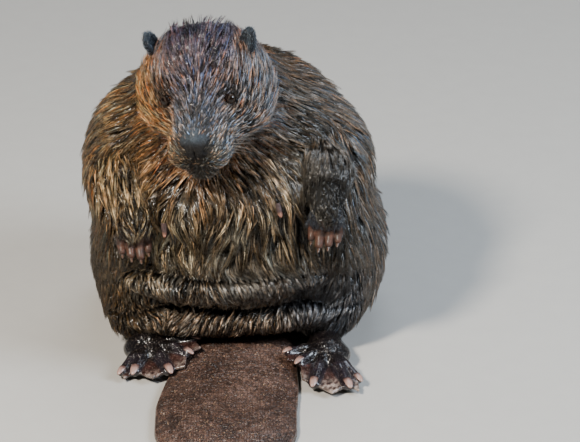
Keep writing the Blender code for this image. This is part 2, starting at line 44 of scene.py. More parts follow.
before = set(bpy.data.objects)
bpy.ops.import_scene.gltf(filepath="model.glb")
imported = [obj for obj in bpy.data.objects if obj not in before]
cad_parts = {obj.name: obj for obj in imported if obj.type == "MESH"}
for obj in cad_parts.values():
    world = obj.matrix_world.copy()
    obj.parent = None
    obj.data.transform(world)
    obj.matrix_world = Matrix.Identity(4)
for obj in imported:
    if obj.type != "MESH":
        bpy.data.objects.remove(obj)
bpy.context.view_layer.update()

MM = 0.001

# The tail in mm: its tip's place, its length and half width, its thickness at the rim, in the middle and
# at the root, and how far to the side its middle line lies at the root and in the blade
TAIL_TIP_Y, TAIL_LENGTH, TAIL_HALF_WIDTH = -366, 318, 75
TAIL_EDGE, TAIL_MIDDLE, TAIL_ROOT = 3, 16, 34
TAIL_ROOT_X, TAIL_BLADE_X = 10, -8
TIP_ROUNDING = 0.24  # share of the length that is rounded off
TIP_GAP = 0.1  # how far short of TAIL_TIP_Y the solid ends, in mm

# The masses below are in mm about the seat; the row's origin is under the middle of the whole animal.
LOW_X, LOW_Y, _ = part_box("tail")[0]
ORIGIN = np.array([LOW_X + (TAIL_HALF_WIDTH - TAIL_BLADE_X) * MM, LOW_Y - (TAIL_TIP_Y + TIP_GAP) * MM, 0])


def to_row(p):
    """Row metres = mm about the seat, scaled and moved by the origin."""
    return np.asarray(p) * MM + ORIGIN


def from_row(p):
    """Mm about the seat from row metres."""
    return (np.asarray(p) - ORIGIN) / MM


def smooth(low, high, value):
    """0 below low, 1 above high, and the cubic 3t^2 - 2t^3 between."""
    t = np.clip((value - low) / (high - low), 0, 1)
    return t * t * (3 - 2 * t)


def unit(v):
    """The vectors, each scaled to length 1."""
    return v / (np.linalg.norm(v, axis=-1, keepdims=True) + 1e-12)


def blend(a, b, share):
    """a where share is 0, b where it is 1, and a (1 - share) + b share between."""
    return a * (1 - share) + b * share


def bell(p, middle, reach):
    """exp(-d^2 / 2 reach^2), where d is the distance from the middle."""
    return np.exp(-((p - middle) ** 2).sum(-1) / (2 * reach * reach))


# ------------------------------------------------------------------ distance fields, in mm
def turned(yaw=0, pitch=0, roll=0):
    """Rotation matrix: roll about Y, then pitch about X, then yaw about Z, in degrees."""
    a, b, c = np.radians([yaw, pitch, roll])
    about_z = np.array([[np.cos(a), -np.sin(a), 0], [np.sin(a), np.cos(a), 0], [0, 0, 1]])
    about_x = np.array([[1, 0, 0], [0, np.cos(b), -np.sin(b)], [0, np.sin(b), np.cos(b)]])
    about_y = np.array([[np.cos(c), 0, np.sin(c)], [0, 1, 0], [-np.sin(c), 0, np.cos(c)]])
    return about_z @ about_x @ about_y


def ball(p, centre, radii, axes=None):
    """Nearly the distance to an ellipsoid: k(k - 1)/g, where k is the length of q/r and g of q/r^2."""
    q = p - np.asarray(centre, float)
    if axes is not None:
        q = q @ axes
    q = q / np.asarray(radii, float)
    level = np.sqrt((q * q).sum(-1))
    q /= np.asarray(radii, float)
    return level * (level - 1) / (np.sqrt((q * q).sum(-1)) + 1e-9)


def limb(p, start, end, start_radius, end_radius):
    """Distance to a round bar that tapers from start to end."""
    start, end = np.asarray(start, float), np.asarray(end, float)
    run = end - start
    t = np.clip(((p - start) @ run) / (run @ run), 0, 1)
    away = np.sqrt(((p - start - t[..., None] * run) ** 2).sum(-1))
    return away - (start_radius + t * (end_radius - start_radius))


def melt(a, b, soft):
    """Union of two fields: the smaller one, less h^2 soft/4 where h = 1 - |a - b|/soft."""
    h = np.maximum(soft - np.abs(a - b), 0) / soft
    return np.minimum(a, b) - h * h * soft / 4


def melt_all(fields, soft):
    """Union of all the fields, one after the other."""
    return functools.reduce(lambda a, b: melt(a, b, soft), fields)


def scoop(a, b, soft):
    """Field a with field b taken out of it, rounded over the length soft."""
    return -melt(-a, b, soft)


# ------------------------------------------------------------------ the head's own frame
NOSE_TIP = np.array((-41.0, -215, 297))
HEAD_YAW, HEAD_PITCH, HEAD_ROLL = 7, -20, 6.5  # degrees
EYE_RADIUS = 6
LID_OPENING = (3.7, 2.3)  # half the width and half the height of the gap between the lids
LID_SPREAD = 0.3  # breadth of a lid as an angle at the eye's centre, in radians
EAR_HEIGHT = 34
EAR_TURN = {1: -40, -1: 78}  # degrees from facing forwards, left and right ear


def head_axes():
    """Rows: to the animal's left, to the back of the head, and to its top."""
    yaw, pitch, roll = np.radians([HEAD_YAW, HEAD_PITCH, HEAD_ROLL])
    ahead = np.array([-np.sin(yaw) * np.cos(pitch), -np.cos(yaw) * np.cos(pitch), np.sin(pitch)])
    level = np.array([np.cos(yaw), -np.sin(yaw), 0])
    side = level * np.cos(roll) + np.cross(ahead, level) * np.sin(roll)
    return np.array([side, -ahead, np.cross(ahead, side)])


HEAD_AXES = head_axes()


def on_head(side, back, up):
    """The place that lies so far to the side, to the back and up from the nose tip, in the head's frame."""
    return NOSE_TIP + np.array([side, back, up], float) @ HEAD_AXES


def in_head(p):
    """Side, back and up from the nose tip."""
    return (p - NOSE_TIP) @ HEAD_AXES.T


def head_ball(p, place, radii, turn=None):
    """An ellipsoid placed, and turned if asked, in the head's frame."""
    axes = HEAD_AXES.T if turn is None else HEAD_AXES.T @ turn
    return ball(p, on_head(*place), radii, axes)


# ------------------------------------------------------------------ the masses of each part
def head_field(p):
    """Skull, bridge of the nose, muzzle, cheeks, lips, jaw and chin."""
    field = melt(head_ball(p, (0, 110, 6), (62, 52, 50)), head_ball(p, (0, 68, 0), (27, 42, 30)), 20)
    field = melt(field, head_ball(p, (0, 36, -4), (24, 36, 21)), 16)  # bridge of the nose
    field = melt(field, head_ball(p, (0, 38, -24), (33, 34, 27)), 14)  # muzzle
    for side in (-1, 1):
        field = melt(field, head_ball(p, (38 * side, 96, -16), (34, 42, 44)), 22)  # cheek
        field = melt(field, head_ball(p, (15 * side, 18, -24), (18, 17, 20)), 8)  # lip
    field = melt(field, head_ball(p, (0, 66, -40), (38, 44, 26)), 18)  # jaw
    return melt(field, head_ball(p, (0, 21, -47), (18, 16, 14)), 6)  # chin


def trunk_field(p):
    """Everything of the body but the rolls, the head and the legs."""
    field = melt_all(
        [
            ball(p, (4, 52, 98), (148, 112, 100)),  # rump
            ball(p, (2, -45, 138), (140, 114, 108)),  # flanks and belly wall
            ball(p, (-2, 38, 184), (136, 96, 102)),  # loin
            ball(p, (-12, -40, 230), (120, 96, 74)),  # chest
            ball(p, (-11, 0, 247), (110, 84, 66)),  # shoulders
        ],
        40,
    )
    field = melt(field, ball(p, (-26, -60, 298), (74, 68, 54)), 40)  # nape
    field = melt(field, ball(p, (-112, -25, 190), (54, 70, 86)), 25)  # right shoulder
    field = melt(field, ball(p, (92, -10, 188), (60, 75, 69)), 25)  # left shoulder
    field = melt(field, ball(p, (104, -2, 84), (62, 116, 80)), 30)  # left haunch
    field = melt(field, ball(p, (-98, -2, 78), (62, 116, 76)), 30)  # right haunch
    for place in ((98, -66, 43), (-104, -60, 41)):
        field = melt(field, ball(p, place, (37, 50, 37)), 20)  # knee
    field = melt(field, ball(p, (0, -30, 40), (112, 72, 42)), 20)  # crotch
    return melt(field, ball(p, (-10, -92, 192), (104, 82, 66)), 14)  # upper belly


# The two rolls of loose skin that the upper belly rests on: middle and radii, and how they are turned
ROLLS = (((-6, -108, 102), (116, 58, 26)), ((1, -86, 52), (141, 56, 27)))
ROLL_TURN = turned(0, 0, -3)


def folds_field(p, field):
    """The field with the two rolls melted on."""
    for middle, radii in ROLLS:
        field = melt(field, ball(p, middle, radii, ROLL_TURN), 7)
    return field


def core_field(p):
    """Trunk, rolls and head."""
    return melt(folds_field(p, trunk_field(p)), head_field(p), 20)


SHOULDER = {"left": np.array((86.0, -62, 218)), "right": np.array((-104.0, -56, 206))}
ELBOW = {"left": np.array((99.0, -104, 215)), "right": np.array((-117.0, -92, 196))}
WRIST = {"left": np.array((98.0, -150, 198)), "right": np.array((-106.0, -146, 183))}


def foreleg_field(p, side):
    """Upper and lower foreleg, two tapering bars that meet at the elbow."""
    upper = limb(p, SHOULDER[side], ELBOW[side], 30, 27)
    return melt(upper, limb(p, ELBOW[side], WRIST[side], 27, 17), 14)


def coat_field(p):
    """The outer form of everything furred, out to the tips of the coat."""
    field = core_field(p)
    for side in SHOULDER:
        field = melt(field, foreleg_field(p, side), 10)
    return field


# ------------------------------------------------------------------ wrapping a field in a mesh
BLOCK = 8  # grid cells along a block's side


def sampled(field, low, counts, cell):
    """Field values on a grid; blocks far from the surface get their middle's value alone."""
    blocks = -(-counts // BLOCK)
    values = np.empty(blocks * BLOCK, float)
    corner = np.stack(np.meshgrid(*(np.arange(n) for n in blocks), indexing="ij"), -1).reshape(-1, 3)
    middle = field(low + (corner * BLOCK + BLOCK / 2) * cell)
    near = np.abs(middle) < 2.2 * cell * BLOCK
    inner = np.stack(np.meshgrid(*[np.arange(BLOCK)] * 3, indexing="ij"), -1)
    close = np.array_split(corner[near] * BLOCK, 1 + near.sum() // 200)
    detail = np.concatenate([field(low + (part[:, None, None, None] + inner) * cell) for part in close])
    grid = values.reshape(blocks[0], BLOCK, blocks[1], BLOCK, blocks[2], BLOCK).transpose(0, 2, 4, 1, 3, 5)
    filled = np.broadcast_to(middle[:, None, None, None], (len(middle), BLOCK, BLOCK, BLOCK)).copy()
    filled[near] = detail
    grid[...] = filled.reshape(grid.shape)
    return values


def skin_over(field, low, high, cell):
    """Points and quads of the closed surface where field is 0: one point in each grid cell that the
    surface crosses, at the mean of its crossings, and one quad round each crossed grid edge."""
    low, high = np.array(low, float), np.array(high, float)
    counts = np.ceil((high - low) / cell).astype(int) + 1
    values = sampled(field, low, counts, float(cell))
    inside = values < 0
    cells = np.array(values.shape) - 1
    total, crossings = np.zeros((*cells, 3)), np.zeros(cells)
    crossed = []
    for axis in range(3):
        across = [k for k in range(3) if k != axis]
        run = np.moveaxis(values, axis, 0)
        first, second = run[:-1], run[1:]
        is_crossed = (first < 0) != (second < 0)
        share = np.where(is_crossed, first / np.where(is_crossed, first - second, 1), 0)
        is_crossed, share = np.moveaxis(is_crossed, 0, axis), np.moveaxis(share, 0, axis)
        crossed.append(is_crossed)
        for i in (0, 1):
            for j in (0, 1):
                pick = [slice(None)] * 3
                pick[across[0]] = slice(i, cells[across[0]] + i)
                pick[across[1]] = slice(j, cells[across[1]] + j)
                hit = is_crossed[tuple(pick)]
                total[..., axis] += share[tuple(pick)]
                total[..., across[0]] += hit * i
                total[..., across[1]] += hit * j
                crossings += hit
    used = crossings > 0
    number = np.full(cells, -1)
    number[used] = np.arange(used.sum())
    points = low + (np.argwhere(used) + total[used] / crossings[used][:, None]) * cell
    quads = []
    for axis in range(3):
        one, two = (axis + 1) % 3, (axis + 2) % 3
        edges = np.argwhere(crossed[axis])
        leaving = inside[tuple(edges.T)]
        ring = []
        for i, j in ((0, 0), (-1, 0), (-1, -1), (0, -1)):
            corner = edges.copy()
            corner[:, one] += i
            corner[:, two] += j
            ring.append(number[tuple(corner.T)])
        quad = np.stack(ring, 1)
        quads.append(np.where(leaving[:, None], quad, quad[:, ::-1]))
    return points, np.concatenate(quads)


def slope(field, p, reach=1.0):
    """Value and outward normal of a field, from four samples at the corners of a small tetrahedron."""
    corners = np.array([[1, 1, 1], [1, -1, -1], [-1, 1, -1], [-1, -1, 1]], float)
    values = np.stack([field(p + corner * reach * 0.577) for corner in corners], -1)
    return values.mean(-1), unit(values @ corners)


# ------------------------------------------------------------------ putting shapes into Blender
def put_mesh(name, points, faces, look, replaces=(), attributes=None, uv=None):
    """A piece from points in mm. faces is a list of index arrays, one array for each count of corners.
    look names its finish, and replaces the CAD nodes that it stands for."""
    mesh = bpy.data.meshes.new(name)
    co = to_row(points).astype(np.float32)
    faces = [np.asarray(f) for f in faces if len(f)]
    loops = np.concatenate([f.ravel() for f in faces]).astype(np.int32)
    sizes = np.concatenate([np.full(len(f), f.shape[1]) for f in faces])
    starts = np.concatenate([[0], np.cumsum(sizes)[:-1]]).astype(np.int32)
    mesh.vertices.add(len(co))
    mesh.vertices.foreach_set("co", co.ravel())
    mesh.loops.add(len(loops))
    mesh.loops.foreach_set("vertex_index", loops)
    mesh.polygons.add(len(starts))
    mesh.polygons.foreach_set("loop_start", starts)
    mesh.update(calc_edges=True)
    for key, values in (attributes or {}).items():
        kind, field_name = ("FLOAT_COLOR", "color") if np.ndim(values) == 2 else ("FLOAT", "value")
        layer = mesh.attributes.new(key, kind, "POINT")
        layer.data.foreach_set(field_name, np.asarray(values, np.float32).ravel())
    if uv is not None:
        mesh.uv_layers.new(name="OFBake").data.foreach_set("uv", np.asarray(uv, np.float32)[loops].ravel())
    mesh.materials.append(material(look))
    mesh.shade_smooth()
    obj = bpy.data.objects.new(name, mesh)
    bpy.context.scene.collection.objects.link(obj)
    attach(obj, "root")
    if replaces:
        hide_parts(*replaces)
    return obj


def closed_sweep(rings):
    """Quads of a tube through rings (rings, sides, 3) with each end drawn in to one point."""
    count, sides = rings.shape[:2]
    points = np.concatenate([rings.reshape(-1, 3), rings[[0, -1]].mean(1)])
    a = np.arange(sides)
    b = (a + 1) % sides
    row = (np.arange(count - 1) * sides)[:, None]
    walls = np.stack([row + a, row + sides + a, row + sides + b, row + b], -1).reshape(-1, 4)
    start, end, last = count * sides, count * sides + 1, (count - 1) * sides
    caps = np.concatenate(
        [
            np.stack([np.full(sides, start), a, b], 1),
            np.stack([np.full(sides, end), last + b, last + a], 1),
        ]
    )
    middle = points[caps[:sides]].mean(1).mean(0)
    first_normal = np.cross(points[b[0]] - points[a[0]], points[sides + a[0]] - points[a[0]])
    if first_normal @ (points[a[0]] - middle) < 0:
        return points, [walls, caps]
    return points, [walls[:, ::-1], caps[:, ::-1]]


# ------------------------------------------------------------------ colours
def linear(code):
    """Linear colour from sRGB hex: c/12.92 up to 0.04045, and ((c + 0.055)/1.055)^2.4 above."""
    c = np.array([int(code[k : k + 2], 16) for k in (1, 3, 5)]) / 255
    return np.where(c <= 0.04045, c / 12.92, ((c + 0.055) / 1.055) ** 2.4)


def rgba(code):
    """A socket's colour from sRGB hex."""
    return (*linear(code), 1)


def opaque(tint):
    """Colours for a mesh attribute: the tint with an alpha of 1."""
    return np.column_stack([tint, np.ones(len(tint))])


EYES = {side: from_row(np.array(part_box("eye_" + side)).mean(0)) for side in ("left", "right")}

# The coat's colours, some patches with painted sheen and painted shade in them: middle of each patch in mm,
# its reach in mm, and its colour
TONE_AND_PAINTED_LIGHT = (
    (on_head(0, 118, 52), 34, "#635566"),  # crown
    (on_head(0, 72, 26), 24, "#7c7073"),  # forehead
    (on_head(0, 36, 14), 15, "#a4a8b1"),  # bridge of the nose, pale bluish grey: partly painted reflection of the sky
    (on_head(-44, 84, -14), 25, "#b38c57"),  # right cheek
    (on_head(44, 84, -14), 28, "#bdb5b0"),  # left cheek, pale grey: partly painted cool sheen
    (on_head(-27, 30, -24), 12, "#c39d6b"),  # right of the muzzle
    (on_head(27, 30, -24), 12, "#cfd0ce"),  # left of the muzzle, near white: partly painted highlights
    (on_head(0, 8, -34), 10, "#15110e"),  # upper lip: dark hair and painted shade under the nose
    (on_head(0, 18, -52), 12, "#1f1812"),  # chin: dark hair and painted shade in the cleft below the mouth
    (on_head(-20, 66, -78), 28, "#a06a34"),  # throat
    (on_head(26, 66, -78), 28, "#6a5038"),
    ((-118, -30, 205), 46, "#b3976f"),  # right shoulder
    ((100, -10, 215), 50, "#979088"),  # left shoulder, greyer than the right: partly painted cool sheen
    ((-8, -150, 180), 60, "#b3a58c"),  # belly
    ((-72, -140, 190), 24, "#c0aa82"),  # right side of the belly
    ((-6, -165, 102), 40, "#86827e"),  # upper roll
    ((0, -150, 52), 40, "#927e6b"),  # lower roll
    ((30, -168, 84), 15, "#5d6674"),  # its sleek upper side, this row and the next bluish grey: painted cool sheen on the roll's top
    ((78, -146, 88), 18, "#56606f"),
    ((48, -172, 110), 15, "#5f6774"),  # middle of the upper roll, bluish grey: painted cool sheen
    ((-145, -10, 85), 50, "#4c3c24"),  # right haunch
    ((145, -10, 85), 50, "#8a8178"),  # left haunch, grey where the right is dark brown: partly painted cool sheen
    ((0, 150, 130), 110, "#54402b"),  # rump and back
    ((0, 70, 270), 60, "#5c4937"),  # top of the back
    (EYES["left"], 7, "#33271d"),
    (EYES["right"], 7, "#231a13"),
    (on_head(47, 98, 30), 6, "#94693c"),  # before the left ear
    (on_head(-47, 98, 30), 6, "#8a6238"),  # before the right ear
    (on_head(60, 112, 14), 16, "#4b4545"),  # behind the left cheek
    (on_head(62, 92, -12), 12, "#5a524c"),
    ((-128, -96, 150), 20, "#130e0a"),  # painted shade in the hollow under the right shoulder
    ((-106, -150, 140), 13, "#241c16"),  # painted shade in the hollows under the forepaws, this row and the next
    ((96, -150, 142), 13, "#2a2520"),
    ((72, -140, 178), 10, "#2a251f"),  # painted shade between the left foreleg and the belly
    (on_head(40, 62, -44), 17, "#3b2d20"),  # left side of the jaw
    (on_head(30, 38, -46), 9, "#3a2d22"),
    ((99, -138, 205), 28, "#090b0e"),  # left foreleg, near black with a bluish cast: partly painted cool sheen
    ((84, -140, 104), 24, "#4d4e52"),  # left end of the upper roll
    ((100, -114, 68), 26, "#737881"),  # left end of the lower roll, bluish grey: painted cool sheen
    # three more patches of the left foreleg, near black with a bluish cast: partly painted cool sheen
    ((96, -105, 240), 24, "#15181c"),
    ((103, -146, 184), 22, "#0f131b"),
    ((100, -128, 226), 20, "#10141b"),
    ((-108, -142, 186), 17, "#30261f"),  # right foreleg
)


def tone_and_painted_light(p):
    """Colour of the coat at a place, painted sheen and shade included: the mean of the patches, each weighed
    by its bell plus a trifle.
    """
    weight = np.stack([bell(p, middle, reach) + 1e-9 for middle, reach, _ in TONE_AND_PAINTED_LIGHT], -1)
    return weight @ np.array([linear(code) for *_, code in TONE_AND_PAINTED_LIGHT]) / weight.sum(-1, keepdims=True)


# Deep creases between the limbs and the body, as the two ends of each stretch in mm and its reach
CREASES = (
    ((110, -122, 238), (114, -138, 214), 5),  # outer edge of the left foreleg
    ((114, -138, 214), (116, -106, 168), 5),
    ((116, -106, 168), (118, -110, 136), 5),
    ((80, -140, 214), (84, -132, 172), 5),  # its inner edge
    ((57, -134, 83), (92, -128, 94), 5),  # fold above the left haunch
    ((92, -128, 94), (109, -122, 108), 6),
    ((109, -122, 108), (122, -110, 130), 6.5),
    ((-148, -75, 168), (-133, -89, 152), 11),  # under the right upper foreleg
    ((-133, -89, 152), (-116, -106, 144), 12),
    ((-92, -140, 172), (-84, -148, 190), 6),
    ((-126, -102, 110), (-92, -128, 120), 6),  # under the right forepaw
    ((73, -143, 139), (116, -116, 124), 6),  # under the left forepaw
    ((-154, -50, 86), (-126, -104, 80), 4),  # fold above the right haunch
)


def crease_shade(p):
    """0.1 in the middle of a crease and 1 away from it: 1 - 0.9 exp(-d^2 / 2 reach^2)."""
    depth = np.stack([np.exp(-np.maximum(limb(p, a, b, 0, 0), 0) ** 2 / (2 * r * r)) for a, b, r in CREASES])
    return 1 - 0.9 * depth.max(0)


def waves(p, length, seed):
    """Smooth unevenness near -1 to 1: the mean of six sine waves of about that length in mm, which
    run in directions drawn from the seed."""
    draw = np.random.default_rng(seed)
    way = unit(draw.normal(size=(6, 3))) * draw.uniform(0.7, 1.5, (6, 1)) * 2 * np.pi / length
    return np.sin(p @ way.T + draw.uniform(0, 6.3, 6)).mean(-1) * 1.8


# ------------------------------------------------------------------ the lie, length and depth of the coat
NAPE = np.array((-26, -70, 292))  # the hair of the neck lies away from here
ABOVE_ELBOWS = 222  # locks of the trunk that start higher than this come down over the elbows
CLEAR_OF_FLOOR = 0.8  # the lowest that a strand may come
STRANDS_IN_PIECE = 19000


def headness(p):
    """1 on the head and 0 on the body, over 22 mm either side of the neck's crease."""
    return 1 - smooth(-2, 20, head_field(p))


def coat_depth(p):
    """How far the skin lies under the coat's outer surface, in mm."""
    _, back, up = np.moveaxis(in_head(p), -1, 0)
    on_face = 1 + 1.6 * smooth(15, 60, back) + 1.6 * smooth(80, 130, back + 0.5 * up)
    body = np.full(p.shape[:-1], 6.5)
    for name, wrist in WRIST.items():
        near_wrist = 1 - smooth(10, 60, np.linalg.norm(p - wrist, axis=-1))
        on_limb = 1 - smooth(2, 14, foreleg_field(p, name))
        body = body - on_limb * (3 + 1.8 * near_wrist)
    body = body - 3 * (1 - smooth(4, 30, p[..., 2]))
    return blend(body, on_face, headness(p))


def skin_field(p):
    """The outer form drawn in by the coat's depth."""
    return coat_field(p) + coat_depth(p)


def hair_length(p):
    """Length of the hair in mm: shortest round the nose, the eyes and the paws, longest on the flanks."""
    side, back, up = np.moveaxis(in_head(p), -1, 0)
    on_face = 4 + 6 * smooth(12, 60, back) + 6 * smooth(50, 110, back)
    on_face = on_face + 6 * smooth(26, 46, np.abs(side)) * smooth(45, 80, back)
    on_face = on_face + 9 * smooth(-20, -55, up) * smooth(30, 70, back)
    by_ears = np.exp(-((np.abs(side) - 44) ** 2 + (back - 98) ** 2 + (up - 34) ** 2) / 300)
    on_face = on_face + 13 * by_ears
    belly = smooth(-80, -120, p[..., 1]) * smooth(250, 215, p[..., 2])
    body = 34 + 4 * waves(p, 60, 3) + 8 * belly
    low_front = smooth(140, 110, p[..., 2]) * smooth(-60, -100, p[..., 1])
    body = body - 22 * low_front
    for name, reach, cut in (("left", 58, 0.8), ("right", 40, 0.66)):
        limb_part = 1 - smooth(2, 12, foreleg_field(p, name))
        near_wrist = 1 - smooth(0.6 * reach, reach, np.linalg.norm(p - WRIST[name], axis=-1))
        body = body * (1 - cut * limb_part * near_wrist)
    body = body * (0.4 + 0.6 * smooth(2, 34, p[..., 2]))
    return blend(body, on_face, headness(p))


def comb(p):
    """Direction the hair lies in, before it is laid along the skin. On the head it runs back from the
    nose and up at the cheeks' edges; on the body down and a little back, outwards round the neck,
    inwards on the haunches; along the forelegs to the wrists."""
    side, back, up = np.moveaxis(in_head(p), -1, 0)
    edge = smooth(18, 46, np.abs(side))
    under = smooth(-24, -56, up)
    outwards = 0.25 * np.sign(side) * smooth(0, 12, np.abs(side)) + 0 * back
    backwards = 1 - 0.45 * under + 0 * back
    upwards = 1.25 * edge * smooth(40, 84, back) * (1 - under) - 0.8 * under + 0.25 * smooth(90, 60, back)
    head_way = unit(np.stack([outwards, backwards, upwards], -1)) @ HEAD_AXES
    x, y, z = np.moveaxis(p, -1, 0)
    neck = p - NAPE
    reach = np.linalg.norm(neck, axis=-1)
    round_neck = smooth(215, 95, reach) * smooth(165, 225, z) * smooth(60, -20, y)
    outward = unit(neck * (1, 0.4, 0.6) + (0, 0, -18))
    inward = smooth(150, 90, z) * smooth(60, 130, np.abs(x)) * smooth(60, -30, y)
    down = np.stack([-0.9 * np.sign(x) * inward, 0.5 * smooth(-60, 20, y), -1 + 0 * z], -1)
    body_way = unit(down) * (1 - round_neck[..., None]) + outward * round_neck[..., None] * 1.2
    swing = waves(p, 48, 7) * 0.5 * smooth(0, -60, y)
    body_way = body_way + np.stack([swing, 0 * y, 0 * z], -1)
    for name in SHOULDER:
        along = unit(WRIST[name] - ELBOW[name]) + np.array((0, 0, -0.4))
        on_limb = 1 - smooth(0, 12, foreleg_field(p, name))
        body_way = blend(unit(body_way), along, on_limb[..., None])
    return unit(blend(unit(body_way), unit(head_way), headness(p)[..., None]))


# The way each forepaw hangs, the way its fingers are spread, and the colours of the hair on its back
PAW_AIM = {"left": (-0.05, -0.12, -1), "right": (0.02, -0.15, -1)}
PAW_SPREAD = {"left": (1, -0.15, 0), "right": (1, 0.2, 0.1)}
# The left paw's hair is dark with a bluish cast: partly painted cool sheen
PAW_COLOURS = {"left": ("#30353f", "#444a55", "#25272e"), "right": ("#3a2c25", "#52402f", "#251e1b")}


def paw_frame(side):
    """The paw's own frame: along the fingers, across them, and from the back of the paw to the belly."""
    aim = unit(np.array(PAW_AIM[side], float))
    spread = np.array(PAW_SPREAD[side], float)
    spread = unit(spread - aim * (spread @ aim))
    return aim, spread, np.cross(spread, aim)


def lie_field(p):
    """The form that the hair follows: the coat's, carried on over the backs of the forepaws."""
    field = coat_field(p)
    for side, wrist in WRIST.items():
        aim, spread, back = paw_frame(side)
        palm = ball(p, wrist + aim * 13, (19, 11.5, 18), np.column_stack([spread, back, aim]))
        field = melt(field, palm, 8)
    return field


def lay(field, p, way):
    """The field's value at p, its normal, and the way laid flat along its surface."""
    value, normal = slope(field, p, 2)
    return value, normal, unit(way - (way * normal).sum(-1, keepdims=True) * normal)


def lock_lines(roots, length, lift, steps, seed):
    """Middle line of each lock: from the skin along the comb, rising to the coat's surface at the tip.
    At share t of the length the line's depth is the coat's depth times 1 - t^0.7, less lift times t."""
    draw = np.random.default_rng(seed)
    turn = draw.normal(0, 0.12, len(roots))[:, None] * (1 - 0.7 * sleekness(roots))[:, None]
    lift = np.broadcast_to(lift, len(roots))
    p, lines, outs, ways = roots, [], [], []
    for k in range(steps + 1):
        t = k / steps
        value, normal, way = lay(lie_field, p, comb(p))
        way = unit(way + turn * np.cross(normal, way))
        p = p - normal * (value + coat_depth(p) * (1 - t**0.7) * 1.06 - lift * t)[:, None]
        lines.append(p)
        outs.append(normal)
        ways.append(way)
        p = p + way * (length / steps)[:, None]
    return np.stack(lines, 1), np.stack(outs, 1), np.stack(ways, 1)


def owner(p):
    """Number of the mass that a place belongs to: the trunk and head, each roll, or each foreleg."""
    trunk = np.minimum(trunk_field(p), head_field(p))
    rolls = (ball(p, middle, radii, ROLL_TURN) for middle, radii in ROLLS)
    return np.argmin([trunk, *rolls, *(foreleg_field(p, side) for side in SHOULDER)], 0)


def up_to_crease(roots, length, seed):
    """Hair lengths cut back so that no lock runs on across a crease between two masses, but for those that
    come down over the elbows."""
    steps = 6
    lines, _, _ = lock_lines(roots, length, 0.0, steps, seed)
    first = owner(roots)
    over_elbow = (first == 0) & (roots[:, 2] > ABOVE_ELBOWS)
    same = np.stack([(owner(lines[:, k]) == first) | over_elbow for k in range(1, steps + 1)], 1)
    reached = np.minimum.accumulate(same, 1).sum(1)
    return length * np.maximum((reached + 1.2) / steps, 0.5).clip(max=1)


def spread_roots(points, quads, spacing, levels, seed):
    """Places on the skin, drawn by area, then thinned to one in each cube of the wanted spacing."""
    draw = np.random.default_rng(seed)
    corners = points[quads]
    area = np.linalg.norm(np.cross(corners[:, 2] - corners[:, 0], corners[:, 3] - corners[:, 1]), axis=1) / 2
    count = int(area.sum() / min(levels) ** 2 * 6)
    pick = draw.choice(len(quads), count, p=area / area.sum())
    u, v = draw.random((2, count, 1))
    four = corners[pick]
    place = (four[:, 0] * (1 - u) + four[:, 1] * u) * (1 - v) + (four[:, 3] * (1 - u) + four[:, 2] * u) * v
    level = np.abs(spacing(place)[:, None] - np.array(levels)).argmin(1)
    cube = np.floor(place / np.array(levels)[level][:, None]).astype(int)
    _, first = np.unique(np.column_stack([cube, level]), axis=0, return_index=True)
    return place[np.sort(first)]


def even_roots(points, quads, spacing, seed):
    """Places on the skin at one spacing everywhere."""
    return spread_roots(points, quads, lambda p: spacing + 0 * p[..., 0], (spacing,), seed)


def split_locks(lines, outs, ways, width, count, gather, seed):
    """Strands of each lock: the lock's line moved sideways and along by random amounts, and the
    sideways move shrunk by gather t^1.2 so that the tips come together. The last result is each
    strand's place across the lock, from -1 to 1."""
    draw = np.random.default_rng(seed)
    which = np.repeat(np.arange(len(lines)), count)
    n, steps = len(which), lines.shape[1]
    t = np.linspace(0, 1, steps)[None, :, None]
    aside = draw.uniform(-0.5, 0.5, n)[:, None, None] * width[which][:, None, None]
    back = draw.uniform(-0.5, 0.35, n)[:, None, None] * width[which][:, None, None] * 1.6
    rise = draw.uniform(-0.9, 0.5, n)[:, None, None]
    across = np.cross(outs, ways)[which]
    closing = 1 - gather[which][:, None, None] * t**1.2
    wave = draw.normal(0, 0.35, (n, 1, 1)) * np.sin(np.pi * t * draw.uniform(0.8, 1.8, (n, 1, 1)))
    path = lines[which] + across * (aside * closing + wave) + ways[which] * back * (1 - 0.6 * t)
    path = path + outs[which] * rise * t * 0.8
    off_middle = aside[:, 0, 0] * 2 / width[which]
    return path, unit(across), outs[which], which, off_middle


def raised(path, out, height):
    """Strands of three points, lifted by the height of each: a fifth of it at the root, then four fifths."""
    return path + out * (height[:, None] * np.array((0.2, 0.8, 0.8)))[..., None]


def streaks(roots, which, off_middle, width, cell):
    """Unevenness of mean 0 and spread 1 for each strand, drawn out along the lie: random values in cubes
    of that size in mm, averaged at ten places one cube apart, from the strand's root back along the lie.
    A cube's value is mixed from its three numbers, each times a large prime."""
    places, spread_of_mean = 10, 0.092
    q, total = roots, 0
    for _ in range(places):
        value, normal, way = lay(lie_field, q, comb(q))
        q = q - normal * value[:, None]
        place = q[which] + np.cross(normal, way)[which] * (off_middle * width[which] / 2)[:, None]
        cube = np.floor(place / cell).astype(np.int64) * (73856093, 19349663, 83492791)
        mixed = cube[:, 0] ^ cube[:, 1] ^ cube[:, 2]
        mixed = (mixed ^ (mixed >> 13)) * 1274126177
        total = total + ((mixed >> 8) & 1023) / 1023
        q = q - way * cell
    return (total / places - 0.5) / spread_of_mean


